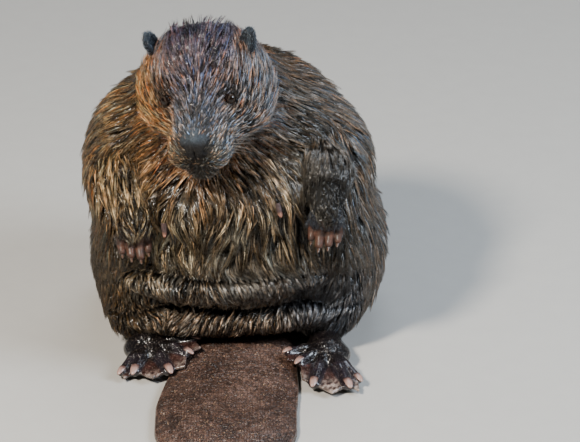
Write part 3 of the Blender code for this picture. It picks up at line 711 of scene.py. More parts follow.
def lock_tint(path, which, off_middle, streak, spread, hue, contrast, draw):
    """Strand colours: the coat's colour, painted sheen and shade included, times a random brightness and a
    warmer or cooler shift for each lock and each strand. Painted shade darkens the partings that water draws
    along the lie, where the colour is deepest, each lock's edges, with painted light in its middle, and the
    creases. The brightness is raised to the power contrast."""
    light = np.exp(draw.normal(-0.05, spread, which.max() + 1))[which]
    light = light * np.exp(draw.normal(0, 0.26, len(path)))
    open_hair = smooth(-1.3, 0.6, streak)
    # Painted shade and light: darker in the partings and at each lock's edges, lighter in each lock's middle
    parting_shade = (0.45 + 0.65 * (1 - np.abs(off_middle) ** 1.6)) * (0.08 + 1.2 * open_hair)
    warmth = hue * (draw.normal(size=which.max() + 1)[which] + draw.normal(size=len(path)))
    shift = np.exp(warmth[:, None] * (1, 0, -1))
    light = (light * parting_shade * 0.78) ** contrast * crease_shade(path[:, -1])
    base = tone_and_painted_light(path[:, 0])
    grey = base.mean(-1, keepdims=True)
    return grey * (base / grey) ** (1.8 - 0.65 * open_hair)[:, None] * shift * light[:, None]


# Where the wet hair lies flat and even: middle and reach in mm
SLEEK = (((104, -108, 74), 34), ((-136, -60, 82), 30), ((20, -164, 112), 16))


def sleekness(p):
    """1 on the left forearm, where the hair is short and lies quite flat, 0.8 of the bell round each of
    the sleek places, and 0 elsewhere."""
    on_limb = 1 - smooth(3, 12, foreleg_field(p, "left"))
    on_limb = on_limb * (1 - smooth(56, 84, np.linalg.norm(p - WRIST["left"], axis=-1)))
    return np.maximum.reduce([on_limb, *(0.8 * bell(p, middle, reach) for middle, reach in SLEEK)])


def strand_mesh(path, across, out, width):
    """Three-sided spikes along the paths. At share t the half width is w/2 (0.75 + t)(1 - t^2.4), where
    the first bracket is 1 at most."""
    n, steps = path.shape[:2]
    t = np.linspace(0, 1, steps)[:-1]
    half = width[:, None] / 2 * np.minimum(0.75 + t, 1) * (1 - t**2.4)
    angle = np.pi / 2 + np.arange(3) * 2 * np.pi / 3
    round_it = across[:, :-1, None] * np.cos(angle)[:, None]
    round_it = round_it + out[:, :-1, None] * np.sin(angle)[:, None] * 0.8
    ring = path[:, :-1, None] + round_it * half[:, :, None, None]
    points = np.concatenate([ring.reshape(n, -1, 3), path[:, -1:]], 1)
    side = np.arange(3)
    after = (side + 1) % 3
    row = (np.arange(steps - 2) * 3)[:, None]
    walls = np.stack([row + side, row + after, row + 3 + after, row + 3 + side], -1).reshape(-1, 4)
    last = (steps - 2) * 3
    ends = np.concatenate([[[0, 2, 1]], np.stack([last + side, last + after, np.full(3, last + 3)], 1)])
    each = (np.arange(n) * points.shape[1])[:, None, None]
    share = np.append(np.repeat(t, 3), 1)
    return points, [(each + walls).reshape(-1, 4), (each + ends).reshape(-1, 3)], share


def unwrap(p):
    """Longitude and latitude of a place on the skin, about a point inside the head or the body."""
    middle = np.where(headness(p)[..., None] > 0.5, on_head(0, 90, -20), np.array((0, 0, 150)))
    q = unit(p - middle)
    longitude = np.arctan2(q[..., 0], -q[..., 1]) / (2 * np.pi) + 0.5
    return np.stack([longitude, np.arccos(-q[..., 2]) / np.pi], -1)


def put_coat(name, path, across, out, width, tint, root_shade):
    """One coat piece: the strands' mesh, a colour for each, darker at the root, and their OFBake map."""
    points, faces, share = strand_mesh(path, across, out, width)
    shade = (root_shade + (1 - root_shade) * share**0.8)[None, :, None]
    colour = np.concatenate([tint[:, None] * shade, np.ones((*points.shape[:2], 1))], -1)
    patch = np.stack([np.append(np.tile([0, 0.0015, 0.003], path.shape[1] - 1), 0.0015), share * 0.003], -1)
    uv = np.clip(unwrap(path[:, 0]), 0, 0.997)[:, None] + patch
    colour, uv = {"tint": colour.reshape(-1, 4)}, uv.reshape(-1, 2)
    piece = put_mesh(name, points.reshape(-1, 3), faces, "hair", attributes=colour, uv=uv)


def put_in_parts(name, path, across, out, width, tint, root_shade):
    """The strands as numbered coat pieces of at most 19,000, shared out by longitude."""
    order = np.argsort(unwrap(path[:, 0])[:, 0])
    order = order[(path[..., 2].min(1) > CLEAR_OF_FLOOR)[order]]
    for number, part in enumerate(np.array_split(order, 1 + len(order) // STRANDS_IN_PIECE), 1):
        strands = (values[part] for values in (path, across, out, width, tint))
        put_coat(f"{name}_{number}", *strands, root_shade)


# ------------------------------------------------------------------ finishes
MIX_A, MIX_B, MIXED = 6, 7, 2  # the colour sockets of a mix node
TIMES = {"data_type": "RGBA", "blend_type": "MULTIPLY"}


def node(tree, kind, inputs=None, stops=(), **settings):
    """Adds a node. inputs maps a socket's name or number to a value or to another node's output, and
    stops are the (place, hex) colours of a colour ramp."""
    made = tree.nodes.new(kind)
    for key, value in settings.items():
        setattr(made, key, value)
    while len(stops) > 2 and len(made.color_ramp.elements) < len(stops):
        made.color_ramp.elements.new(0.5)
    for number, (place, code) in enumerate(stops):
        made.color_ramp.elements[number].position = place
        made.color_ramp.elements[number].color = rgba(code)
    for key, value in (inputs or {}).items():
        if isinstance(value, bpy.types.NodeSocket):
            tree.links.new(value, made.inputs[key])
        else:
            made.inputs[key].default_value = value
    return made


def finish(name, **sockets):
    """A material with a Principled shader; socket names are given with _ for each space."""
    made = bpy.data.materials.new(name)
    made.use_nodes = True
    tree = made.node_tree
    tree.nodes.clear()
    shader = node(tree, "ShaderNodeBsdfPrincipled")
    for key, value in sockets.items():
        shader.inputs[key.replace("_", " ")].default_value = value
    node(tree, "ShaderNodeOutputMaterial", {"Surface": shader.outputs[0]})
    return made, tree, shader


def wet_guard_hair():
    """Beaver guard hair, wet from the river: water gathers the hair into round, glossy strands, so each
    one carries a thin bright line, while the gaps between stay dark."""
    gloss = {"Roughness": 0.32, "IOR": 1.5, "Coat_Weight": 0.6, "Coat_Roughness": 0.12}
    made, tree, shader = finish("wet_guard_hair", **gloss)
    tint = node(tree, "ShaderNodeAttribute", attribute_name="tint")
    place = node(tree, "ShaderNodeTexCoord").outputs["Object"]
    # streaks 3.8 mm long: the change in colour along one hair, drawn coarser than the real 0.1 mm hair
    streak = node(tree, "ShaderNodeTexNoise", {"Vector": place, "Scale": 260, "Detail": 2})
    light, rough = (
        node(
            tree,
            "ShaderNodeMapRange",
            {"Value": streak.outputs["Fac"], "From Min": 0.3, "From Max": 0.7, "To Min": low, "To Max": high},
        )
        for low, high in ((0.72, 1.25), (0.22, 0.36))
    )
    pair = {"Factor": 1, MIX_A: tint.outputs["Color"], MIX_B: light.outputs[0]}
    colour = node(tree, "ShaderNodeMix", pair, **TIMES)
    tree.links.new(colour.outputs[MIXED], shader.inputs["Base Color"])
    tree.links.new(rough.outputs[0], shader.inputs["Roughness"])
    return made


def wet_underfur():
    """The dense underfur pressed to the skin by water: matt and nearly black, with a fine nap, so it
    reads as shadow between the strands."""
    made, tree, shader = finish("wet_underfur", Roughness=0.8, IOR=1.3)
    tint = node(tree, "ShaderNodeAttribute", attribute_name="tint")
    place = node(tree, "ShaderNodeTexCoord").outputs["Object"]
    # nap about 1.2 mm across, drawn coarser than the real 0.02 mm wool
    nap = node(tree, "ShaderNodeTexNoise", {"Vector": place, "Scale": 850, "Detail": 3})
    dark = node(
        tree,
        "ShaderNodeMapRange",
        {"Value": nap.outputs["Fac"], "From Min": 0.3, "From Max": 0.7, "To Min": 0.45, "To Max": 1.3},
    )
    pair = {"Factor": 1, MIX_A: tint.outputs["Color"], MIX_B: dark.outputs[0]}
    colour = node(tree, "ShaderNodeMix", pair, **TIMES)
    tree.links.new(colour.outputs[MIXED], shader.inputs["Base Color"])
    bump = node(tree, "ShaderNodeBump", {"Height": nap.outputs["Fac"], "Strength": 0.6, "Distance": 0.8 * MM})
    tree.links.new(bump.outputs[0], shader.inputs["Normal"])
    return made


def bare_leather(name, grain, depth, rough, wet, speckle, ior=1.42):
    """Hairless skin, creased and pebbled in cells of the given width in mm, colour from the piece's own
    tint with paler specks on the cells, and a wet film over it."""
    made, tree, shader = finish(name, Roughness=rough, IOR=ior, Coat_Weight=wet, Coat_Roughness=0.12)
    tint = node(tree, "ShaderNodeAttribute", attribute_name="tint")
    place = node(tree, "ShaderNodeTexCoord").outputs["Object"]
    pebbles = {"Vector": place, "Scale": 1 / (grain * MM), "Randomness": 0.9}
    cells = node(tree, "ShaderNodeTexVoronoi", pebbles, feature="DISTANCE_TO_EDGE")
    groove = node(tree, "ShaderNodeMapRange", {"Value": cells.outputs["Distance"], "From Max": 0.18})
    # mottles 5 mm across and specks 1.4 mm across
    mottle = node(tree, "ShaderNodeTexNoise", {"Vector": place, "Scale": 190, "Detail": 4})
    light = node(
        tree,
        "ShaderNodeMapRange",
        {"Value": mottle.outputs["Fac"], "From Min": 0.35, "From Max": 0.68, "To Min": 0.6, "To Max": 1.35},
    )
    pair = {"Factor": 1, MIX_A: tint.outputs["Color"], MIX_B: light.outputs[0]}
    shaded = node(tree, "ShaderNodeMix", pair, **TIMES)
    darker = node(tree, "ShaderNodeMapRange", {"Value": groove.outputs[0], "To Min": 0.45, "To Max": 1.0})
    pair = {"Factor": 1, MIX_A: shaded.outputs[MIXED], MIX_B: darker.outputs[0]}
    creased = node(tree, "ShaderNodeMix", pair, **TIMES)
    specks = node(tree, "ShaderNodeTexNoise", {"Vector": place, "Scale": 700, "Detail": 2})
    fleck = node(
        tree,
        "ShaderNodeMapRange",
        {"Value": specks.outputs["Fac"], "From Min": 0.62, "From Max": 0.72, "To Max": speckle},
    )
    flecked = {"Factor": fleck.outputs[0], MIX_A: creased.outputs[MIXED], MIX_B: rgba("#a99a8c")}
    colour = node(tree, "ShaderNodeMix", flecked, data_type="RGBA")
    tree.links.new(colour.outputs[MIXED], shader.inputs["Base Color"])
    fine = node(tree, "ShaderNodeMath", {0: groove.outputs[0], 1: mottle.outputs["Fac"]}, operation="ADD")
    bump = node(tree, "ShaderNodeBump", {"Height": fine.outputs[0], "Strength": 0.8, "Distance": depth * MM})
    tree.links.new(bump.outputs[0], shader.inputs["Normal"])
    return made


def tail_scales():
    """Horny tail scales: dark red-brown plates about 3 mm wide with grooves between, pale tan specks, and a
    wet film that picks up the sky."""
    film = {"Roughness": 0.42, "IOR": 1.5, "Coat_Weight": 0.2, "Coat_Roughness": 0.2}
    made, tree, shader = finish("wet_tail_scales", **film)
    place = node(tree, "ShaderNodeTexCoord").outputs["Object"]
    # plates 2.8 mm across the tail and 3.3 mm along it
    mapping = node(tree, "ShaderNodeMapping", {"Vector": place, "Scale": (360, 300, 240)})
    pattern = {"Vector": mapping.outputs[0], "Scale": 1.0, "Randomness": 0.85}
    plates = node(tree, "ShaderNodeTexVoronoi", pattern)
    edges = node(tree, "ShaderNodeTexVoronoi", pattern, feature="DISTANCE_TO_EDGE")
    groove = node(tree, "ShaderNodeMapRange", {"Value": edges.outputs["Distance"], "From Max": 0.16})
    # patches of lighter and darker horn, 36 mm across
    patches = node(tree, "ShaderNodeTexNoise", {"Vector": place, "Scale": 28, "Detail": 5})
    horn = ((0.3, "#2d1e18"), (0.5, "#453128"), (0.7, "#5a443b"))
    base = node(tree, "ShaderNodeValToRGB", {"Fac": patches.outputs["Fac"]}, horn)
    each = node(tree, "ShaderNodeSeparateColor", {0: plates.outputs["Color"]})
    light = node(tree, "ShaderNodeMapRange", {"Value": each.outputs[0], "To Min": 0.45, "To Max": 1.5})
    pair = {"Factor": 1, MIX_A: base.outputs["Color"], MIX_B: light.outputs[0]}
    shaded = node(tree, "ShaderNodeMix", pair, **TIMES)
    darker = node(tree, "ShaderNodeMapRange", {"Value": groove.outputs[0], "To Min": 0.35, "To Max": 1.0})
    pair = {"Factor": 1, MIX_A: shaded.outputs[MIXED], MIX_B: darker.outputs[0]}
    grooved = node(tree, "ShaderNodeMix", pair, **TIMES)
    # pale tan specks 1.8 mm across the tail and 3 mm along it
    drawn_out = node(tree, "ShaderNodeMapping", {"Vector": place, "Scale": (560, 330, 400)})
    pale_dots = node(tree, "ShaderNodeTexNoise", {"Vector": drawn_out.outputs[0], "Scale": 1.0, "Detail": 1})
    fleck = node(
        tree,
        "ShaderNodeMapRange",
        {"Value": pale_dots.outputs["Fac"], "From Min": 0.69, "From Max": 0.74, "To Max": 0.75},
    )
    dotted = {"Factor": fleck.outputs[0], MIX_A: grooved.outputs[MIXED], MIX_B: rgba("#a78768")}
    colour = node(tree, "ShaderNodeMix", dotted, data_type="RGBA")
    tree.links.new(colour.outputs[MIXED], shader.inputs["Base Color"])
    bump = node(tree, "ShaderNodeBump", {"Height": groove.outputs[0], "Strength": 0.9, "Distance": 0.6 * MM})
    tree.links.new(bump.outputs[0], shader.inputs["Normal"])
    return made


def claw_horn(name, pale, dark, line_scale):
    """Claw horn, grown in layers from the root: slightly glossy, with fine lines, that many to a metre."""
    made, tree, shader = finish(name, Roughness=0.34, IOR=1.54, Coat_Weight=0.2, Coat_Roughness=0.1)
    shader.inputs["Subsurface Weight"].default_value = 0.12
    shader.inputs["Subsurface Radius"].default_value = (2 * MM, 1 * MM, 0.7 * MM)  # red goes deepest
    along = node(tree, "ShaderNodeAttribute", attribute_name="along")
    place = node(tree, "ShaderNodeTexCoord").outputs["Object"]
    lines = node(tree, "ShaderNodeTexNoise", {"Vector": place, "Scale": line_scale, "Detail": 3})
    uneven = {0: lines.outputs["Fac"], 1: 0.55, 2: along.outputs["Fac"]}
    mixed = node(tree, "ShaderNodeMath", uneven, operation="MULTIPLY_ADD")
    stops = ((0.3, dark), (0.85, pale), (1.0, pale))
    colour = node(tree, "ShaderNodeValToRGB", {"Fac": mixed.outputs[0]}, stops)
    tree.links.new(colour.outputs["Color"], shader.inputs["Base Color"])
    ridges = {"Height": lines.outputs["Fac"], "Strength": 0.4, "Distance": 0.4 * MM}
    bump = node(tree, "ShaderNodeBump", ridges)
    tree.links.new(bump.outputs[0], shader.inputs["Normal"])
    return made


def eye_gloss():
    """The wet front of a dark eye: near black with a little brown, and a sharp highlight."""
    made, tree, shader = finish("wet_dark_eye", Roughness=0.06, IOR=1.37)
    place = node(tree, "ShaderNodeTexCoord").outputs["Object"]
    # flecks of the iris, 1.7 mm across
    iris = node(tree, "ShaderNodeTexNoise", {"Vector": place, "Scale": 600, "Detail": 2})
    stops = ((0.35, "#070504"), (0.7, "#1a100b"))
    colour = node(tree, "ShaderNodeValToRGB", {"Fac": iris.outputs["Fac"]}, stops)
    tree.links.new(colour.outputs["Color"], shader.inputs["Base Color"])
    return made


FINISHES = {
    "hair": wet_guard_hair,
    "underfur": wet_underfur,
    # grain and depth in mm, roughness, weight of the wet film, strength of the specks, and the IOR
    "nose": lambda: bare_leather("wet_nose_leather", 1.4, 0.45, 0.5, 0.05, 0.05, 1.3),
    "lid": lambda: bare_leather("dark_eyelid_skin", 0.9, 0.15, 0.7, 0.0, 0.0, 1.25),
    "paw": lambda: bare_leather("creased_paw_skin", 1.8, 0.3, 0.55, 0.08, 0.1),
    "foot": lambda: bare_leather("webbed_foot_skin", 2.2, 0.25, 0.2, 0.6, 0.3),
    "tail": tail_scales,
    "hind_claw": lambda: claw_horn("pale_claw_horn", "#8e7168", "#33211e", 420),
    "fore_claw": lambda: claw_horn("brown_claw_horn", "#4a3529", "#1c1411", 700),
    "eye": eye_gloss,
}


@functools.lru_cache(maxsize=None)
def material(name):
    """The finish of that name, made when it is first asked for."""
    return FINISHES[name]()


# ------------------------------------------------------------------ sizes and colours that a user may change
class CoatSettings(bpy.types.PropertyGroup):
    strand_width: FloatProperty(
        name="Strand width",
        description="Width of one wet strand on the body",
        default=1.15 * MM,
        unit="LENGTH",
    )
    face_strand_width: FloatProperty(
        name="Face strand width",
        description="Width of one strand on the head",
        default=0.8 * MM,
        unit="LENGTH",
    )
    length_scale: FloatProperty(
        name="Hair length",
        description="All hair lengths times this",
        default=1.0,
        subtype="FACTOR",
        min=0.3,
        max=1.5,
    )
    body_spacing: FloatProperty(
        name="Lock spacing",
        description="Distance between locks on the body",
        default=7.3 * MM,
        unit="LENGTH",
    )
    face_spacing: FloatProperty(
        name="Face lock spacing",
        description="Distance between locks on the head",
        default=3.2 * MM,
        unit="LENGTH",
    )
    golden: FloatVectorProperty(
        name="Golden hair",
        description="Colour of the sun-bleached strands",
        default=linear("#b08448"),
        size=3,
        subtype="COLOR",
    )


class SkinSettings(bpy.types.PropertyGroup):
    cell: FloatProperty(
        name="Skin cell",
        description="Grid cell of the body's skin",
        default=2.6 * MM,
        unit="LENGTH",
    )
    foot: FloatVectorProperty(
        name="Foot skin",
        description="Colour of the toes",
        default=linear("#211a20"),
        size=3,
        subtype="COLOR",
    )
    web: FloatVectorProperty(
        name="Web skin",
        description="Colour of the webs",
        default=linear("#3b2521"),
        size=3,
        subtype="COLOR",
    )
    paw: FloatVectorProperty(
        name="Paw skin",
        description="Colour of the fingers",
        default=linear("#4e2f21"),
        size=3,
        subtype="COLOR",
    )
    nose: FloatVectorProperty(
        name="Nose skin",
        description="Colour of the nose pad",
        default=linear("#120f0e"),
        size=3,
        subtype="COLOR",
    )


class StageSettings(bpy.types.PropertyGroup):
    floor: FloatVectorProperty(
        name="Floor colour",
        description="Colour of the floor",
        default=linear("#a3a09b"),
        size=3,
        subtype="COLOR",
    )
    key_power: FloatProperty(
        name="Key light",
        description="Power of the warm light from the left",
        default=150.0,
        unit="POWER",
    )
    fill_power: FloatProperty(
        name="Fill light",
        description="Power of the cool light from the right",
        default=88.0,
        unit="POWER",
    )


# ------------------------------------------------------------------ operators, one for each group of pieces
FURRED = ("head", "neck", "chest", "abdomen", "haunch_left", "haunch_right", "foreleg_left", "foreleg_right")
UNDERFUR_SHADE = 0.08  # the underfur's colour is the coat's colour, painted sheen and shade included, times this
SKIN_LOW, SKIN_HIGH = (-175, -225, -6), (175, 180, 372)


@functools.lru_cache(maxsize=None)
def body_skin(cell):
    """The skin under the coat, flattened where the animal sits on the floor."""
    points, quads = skin_over(skin_field, SKIN_LOW, SKIN_HIGH, cell)
    points[:, 2] = np.maximum(points[:, 2], 1.5)
    return points, quads


class BEAVER_OT_skin(bpy.types.Operator):
    """Skin of the whole furred body, one closed surface under the coat"""

    bl_idname = "beaver.skin"
    bl_label = "Skin"

    def execute(self, context):
        points, quads = body_skin(context.scene.beaver_skin.cell / MM)
        tint = {"tint": opaque(tone_and_painted_light(points) * UNDERFUR_SHADE)}
        skin = put_mesh("body_skin", points, [quads], "underfur", FURRED, tint, unwrap(points))
        return {"FINISHED"}


def spacing_on_body(p):
    """Locks are widest on the belly, narrower on the back and shoulders, and fine near paws and feet."""
    front = smooth(-70, -120, p[..., 1])
    belly = front * smooth(115, 80, np.abs(p[..., 0]))
    belly = belly * smooth(250, 225, p[..., 2]) * smooth(132, 142, p[..., 2])
    rolls = smooth(-50, -80, p[..., 1]) * smooth(142, 134, p[..., 2])
    fine = smooth(20, 12, hair_length(p))
    return (1 + 0.8 * belly) * (1 - 0.35 * rolls) * (1 - 0.4 * fine)


class BEAVER_OT_body_coat(bpy.types.Operator):
    """Wet guard hair of the body, in pointed locks laid like shingles"""

    bl_idname = "beaver.body_coat"
    bl_label = "Body coat"

    def execute(self, context):
        settings = context.scene.beaver_coat
        points, quads = body_skin(context.scene.beaver_skin.cell / MM)
        base = settings.body_spacing / MM
        levels = np.array((0.6, 0.75, 1, 1.3, 1.8)) * base
        roots = spread_roots(points, quads, lambda p: spacing_on_body(p) * base, levels, 11)
        roots = roots[(headness(roots) < 0.6) & (roots[:, 2] > 4)]
        draw = np.random.default_rng(5)
        length = hair_length(roots) * draw.uniform(0.75, 1.2, len(roots)) * settings.length_scale
        length = up_to_crease(roots, length, 21)
        stray = (draw.random(len(roots)) < 0.04) * draw.uniform(2, 5, len(roots))
        lift = (0.8 + stray) * (1 - sleekness(roots))
        lines, outs, ways = lock_lines(roots, length, lift, 2, 21)
        spacing = spacing_on_body(roots)
        lock_width = base * spacing * draw.uniform(0.8, 1.4, len(roots)) * np.clip(length / 24, 0.5, 1)
        broad = smooth(1.1, 1.8, spacing)
        gather = 0.74 + 0.14 * broad + 0.1 * draw.random(len(roots))
        count = np.round(9 + 13 * broad).astype(int)
        path, across, out, which, off_middle = split_locks(lines, outs, ways, lock_width, count, gather, 31)
        width = settings.strand_width / MM * draw.uniform(0.6, 1.25, len(path))
        width = width * np.clip(length[which] / 22, 0.5, 1)
        streak = streaks(roots, which, off_middle, lock_width, 3.2)
        sleek = sleekness(path[:, 1])
        front = smooth(-60, -110, path[:, 0, 1])
        path = raised(path, out, (0.7 + 0.8 * front) * (1 - 0.7 * sleek) * np.clip(streak, -1.5, 1.5))
        tint = lock_tint(path, which, off_middle, streak, 0.3, 0.18 - 0.1 * front, 1.25 + 0.6 * front, draw)
        tint = blend(tint, tone_and_painted_light(path[:, 0]), 0.75 * sleek[:, None])
        sunned = (draw.random(len(path)) < 0.1) * 0.35 * (1 - sleek)
        tint = blend(tint, np.array(settings.golden), sunned[:, None])
        put_in_parts("body_coat", path, across, out, width, tint, 0.1)
        return {"FINISHED"}


class BEAVER_OT_head_coat(bpy.types.Operator):
    """Short hair of the head, and the sparse spiky tips that stand on the crown"""

    bl_idname = "beaver.head_coat"
    bl_label = "Head coat"

    def execute(self, context):
        settings = context.scene.beaver_coat
        points, quads = body_skin(context.scene.beaver_skin.cell / MM)
        head_quads = quads[headness(points[quads].mean(1)) > 0.2]
        base = settings.face_spacing / MM
        roots = even_roots(points, head_quads, base, 12)
        eye_gap = np.min([np.linalg.norm(roots - eye, axis=1) for eye in EYES.values()], 0)
        draw = np.random.default_rng(6)
        kept = (eye_gap > 4.7) & (nose_field(roots) > -1.6 * draw.random(len(roots)))
        roots, eye_gap = roots[kept], eye_gap[kept]
        length = hair_length(roots) * draw.uniform(0.75, 1.25, len(roots)) * settings.length_scale
        length *= 0.42 + 0.58 * smooth(6, 18, eye_gap)
        side, back, up = in_head(roots).T
        on_crown = smooth(28, 48, up) * smooth(75, 100, back)
        on_edge = smooth(34, 50, np.abs(side))
        is_stray = draw.random(len(roots)) < 0.03 + 0.2 * on_crown + 0.3 * on_edge
        stray = is_stray * draw.uniform(1, 2.5 + 9 * on_crown + 2 * on_edge)
        length *= 1 + 0.6 * is_stray * on_crown
        lines, outs, ways = lock_lines(roots, length, 0.9 + stray, 2, 22)
        lock_width = base * draw.uniform(1.0, 1.7, len(roots))
        gather = 0.5 + 0.35 * draw.random(len(roots))
        path, across, out, which, off_middle = split_locks(lines, outs, ways, lock_width, 4, gather, 32)
        width = settings.face_strand_width / MM * draw.uniform(0.6, 1.2, len(path))
        width = width * (0.65 + 0.35 * smooth(20, 90, in_head(path[:, 0])[:, 1]))
        streak = streaks(roots, which, off_middle, lock_width, 1.9)
        path = raised(path, out, 0.3 * np.clip(streak, -1.5, 1.5))
        tint = lock_tint(path, which, off_middle, streak, 0.3, 0.22, 1.2, draw)
        put_in_parts("head_coat", path, across, out, width, tint, 0.2)
        return {"FINISHED"}


# Dark ear hair with a bluish cast: partly painted cool sheen
EAR_COLOURS = ("#323d48", "#414f5c", "#262d35")


def ear_field(p, side):
    """A thin cup that opens forwards and outwards."""
    lean = turned(EAR_TURN[side], -10, 18 * side)
    place = np.array((51 * side, 112, 42))
    shell = head_ball(p, place, (10.5, 5.5, EAR_HEIGHT / 2 + 4), lean)
    hollow = head_ball(p, place + lean @ (0, -6, 2), (8, 5.5, EAR_HEIGHT / 2 - 1), lean)
    return scoop(shell, hollow, 2)


def short_coat(name, roots, field, way, lengths, width, colours, seed):
    """Short hair straight off the surface of a part: from each root it lies along way, give or take a
    little, and rises by a sixth of its length. Its colours are drawn from the hex values."""
    draw = np.random.default_rng(seed)
    _, normal, way = lay(field, roots, unit(way + 0.22 * draw.normal(size=roots.shape)))
    length = draw.uniform(*lengths, len(roots))[:, None]
    rise = np.linspace(-0.04, 0.17, 3)
    path = np.stack([roots + length * (way * t + normal * h) for t, h in zip((0, 0.5, 1), rise)], 1)
    across, out = (np.repeat(v[:, None], 3, 1) for v in (np.cross(normal, way), normal))
    tint = np.array([linear(code) for code in colours])[draw.integers(len(colours), size=len(roots))]
    tint = tint * np.exp(draw.normal(0, 0.3, (len(roots), 1)))
    put_coat(name, path, across, out, width * draw.uniform(0.7, 1.3, len(roots)), tint, 0.4)


class BEAVER_OT_ears(bpy.types.Operator):
    """Small round ears with short dark hair"""

    bl_idname = "beaver.ears"
    bl_label = "Ears"

    def execute(self, context):
        for name, sign in (("left", 1), ("right", -1)):
            field = functools.partial(ear_field, side=sign)
            place = on_head(55 * sign, 110, 44)
            # the skin lies 0.4 mm inside the form that the hair follows
            points, quads = skin_over(lambda p: field(p) + 0.4, place - 34, place + 34, 1.1)
            tint = {"tint": np.tile(rgba("#1f2127"), (len(points), 1))}
            skin = put_mesh("ear_skin_" + name, points, [quads], "underfur", ("ear_" + name,), tint)
            to_tip = unit(on_head(58 * sign, 116, 66) - on_head(46 * sign, 106, 22))
            roots = even_roots(points, quads, 1.5, 13)
            short_coat("ear_coat_" + name, roots, field, to_tip, (4, 6.5), 0.6, EAR_COLOURS, 13)
        return {"FINISHED"}


def sphere_grid(centre, radius, axes, along=40, around=56):
    """Rings of a ball: radius times (sin a cos b, sin a sin b, cos a), turned by the axes."""
    a = np.linspace(0.02, 0.98, along)[:, None] * np.pi
    b = np.linspace(0, 2 * np.pi, around, endpoint=False)[None, :]
    way = np.stack([np.sin(a) * np.cos(b), np.sin(a) * np.sin(b), np.cos(a) + 0 * b], -1)
    return (way * radius) @ axes + centre


def eye_frame(side):
    """Eye centre, and rows that point out of the eye, to the back of the head along the lids, and up."""
    centre = EYES[side]
    _, out = slope(coat_field, centre, 3)
    sideways = HEAD_AXES[0] * (1 if side == "left" else -1)
    out = unit(out + 0.12 * sideways)
    back = HEAD_AXES[1] + 0.25 * HEAD_AXES[2]
    back = unit(back - (back @ out) * out)
    up = np.cross(out, back)
    if up @ HEAD_AXES[2] < 0:
        up = -up
    return centre, np.array([out, back, up])


class BEAVER_OT_eyes(bpy.types.Operator):
    """Dark wet eyes, each in a rim of lids"""

    bl_idname = "beaver.eyes"
    bl_label = "Eyes and lids"

    def execute(self, context):
        for side in EYES:
            centre, axes = eye_frame(side)
            points, faces = closed_sweep(sphere_grid(centre, EYE_RADIUS, axes))
            ball_piece = put_mesh("eyeball_" + side, points, faces, "eye", ("eye_" + side,))
            points, faces = lids(centre, axes)
            tint = np.tile(rgba("#2b211a"), (len(points), 1))
            rim = put_mesh("eyelids_" + side, points, faces, "lid", attributes={"tint": tint})
        return {"FINISHED"}


def lids(centre, axes, around=64, through=20):
    """A ring of skin round the eye. Seen from outside its opening is an almond, 7.4 by 4.6 mm; from there a
    lip of round section rises 0.4 mm and runs back over the ball."""
    b = np.linspace(0, 2 * np.pi, around, endpoint=False)[:, None]
    c = np.linspace(0, 2 * np.pi, through, endpoint=False)[None, :]
    gap = np.hypot(LID_OPENING[0] * np.cos(b), LID_OPENING[1] * np.sin(b)) / EYE_RADIUS
    polar = np.arcsin(np.clip(gap, 0, 0.95)) + LID_SPREAD * (1 - np.cos(c)) / 2
    radius = EYE_RADIUS + 0.02 + 0.36 * np.sin(c)
    way = np.stack([np.cos(polar), np.sin(polar) * np.cos(b), np.sin(polar) * np.sin(b)], -1)
    points = ((way * radius[..., None]) @ axes + centre).reshape(-1, 3)
    index = np.arange(around * through).reshape(around, through)
    right, above = np.roll(index, -1, 0), np.roll(index, -1, 1)
    quads = np.stack([index, right, np.roll(right, -1, 1), above], -1).reshape(-1, 4)
    one, two, three, four = np.moveaxis(points[quads], 1, 0)
    volume = (one * np.cross(two - four, three)).sum()
    return points, [quads if volume > 0 else quads[:, ::-1]]


def nose_field(p):
    """The nose pad with its two nostrils and the groove between them."""
    pad = head_ball(p, (0, 10, -9), (14.5, 12, 15))
    pad = melt(pad, head_ball(p, (0, 22, 3), (14, 15, 10)), 10)
    for side in (-1, 1):
        pad = melt(pad, head_ball(p, (11 * side, 9, -6), (7, 8, 8.5)), 6)
        nostril = head_ball(p, (13.5 * side, 2.5, -7), (4, 7, 5.4), turned(0, 0, 35 * side))
        pad = scoop(pad, nostril, 2)
        pad = scoop(pad, head_ball(p, (17 * side, 6, -3), (4, 5, 1.5), turned(0, 0, 40 * side)), 2)
    pad = pad - 0.25 * waves(p, 3.2, 60)
    return scoop(pad, head_ball(p, (0, -3, -14), (0.8, 5, 9)), 2.5)


class BEAVER_OT_nose(bpy.types.Operator):
    """Bare nose pad with open nostrils"""

    bl_idname = "beaver.nose"
    bl_label = "Nose"

    def execute(self, context):
        place = on_head(0, 10, -6)
        points, quads = skin_over(nose_field, place - 28, place + 28, 0.7)
        # The pad's top is blended to bluish grey: painted reflection of the sky on the wet leather
        sky_sheen_on_top = smooth(-2, 8, in_head(points)[:, 2])
        nostrils = (on_head(13 * side, 3.5, -6) for side in (-1, 1))
        deep = np.min([np.linalg.norm(points - nostril, axis=1) for nostril in nostrils], 0)
        tint = blend(np.array(context.scene.beaver_skin.nose), linear("#3b434b"), sky_sheen_on_top[:, None])
        # Near each nostril the colour falls to near black: painted shade inside the nostrils
        tint = {"tint": opaque(tint * (0.08 + 0.92 * smooth(3.5, 8, deep))[:, None])}
        piece = put_mesh("nose_pad", points, [quads], "nose", ("nose",), tint)
        return {"FINISHED"}


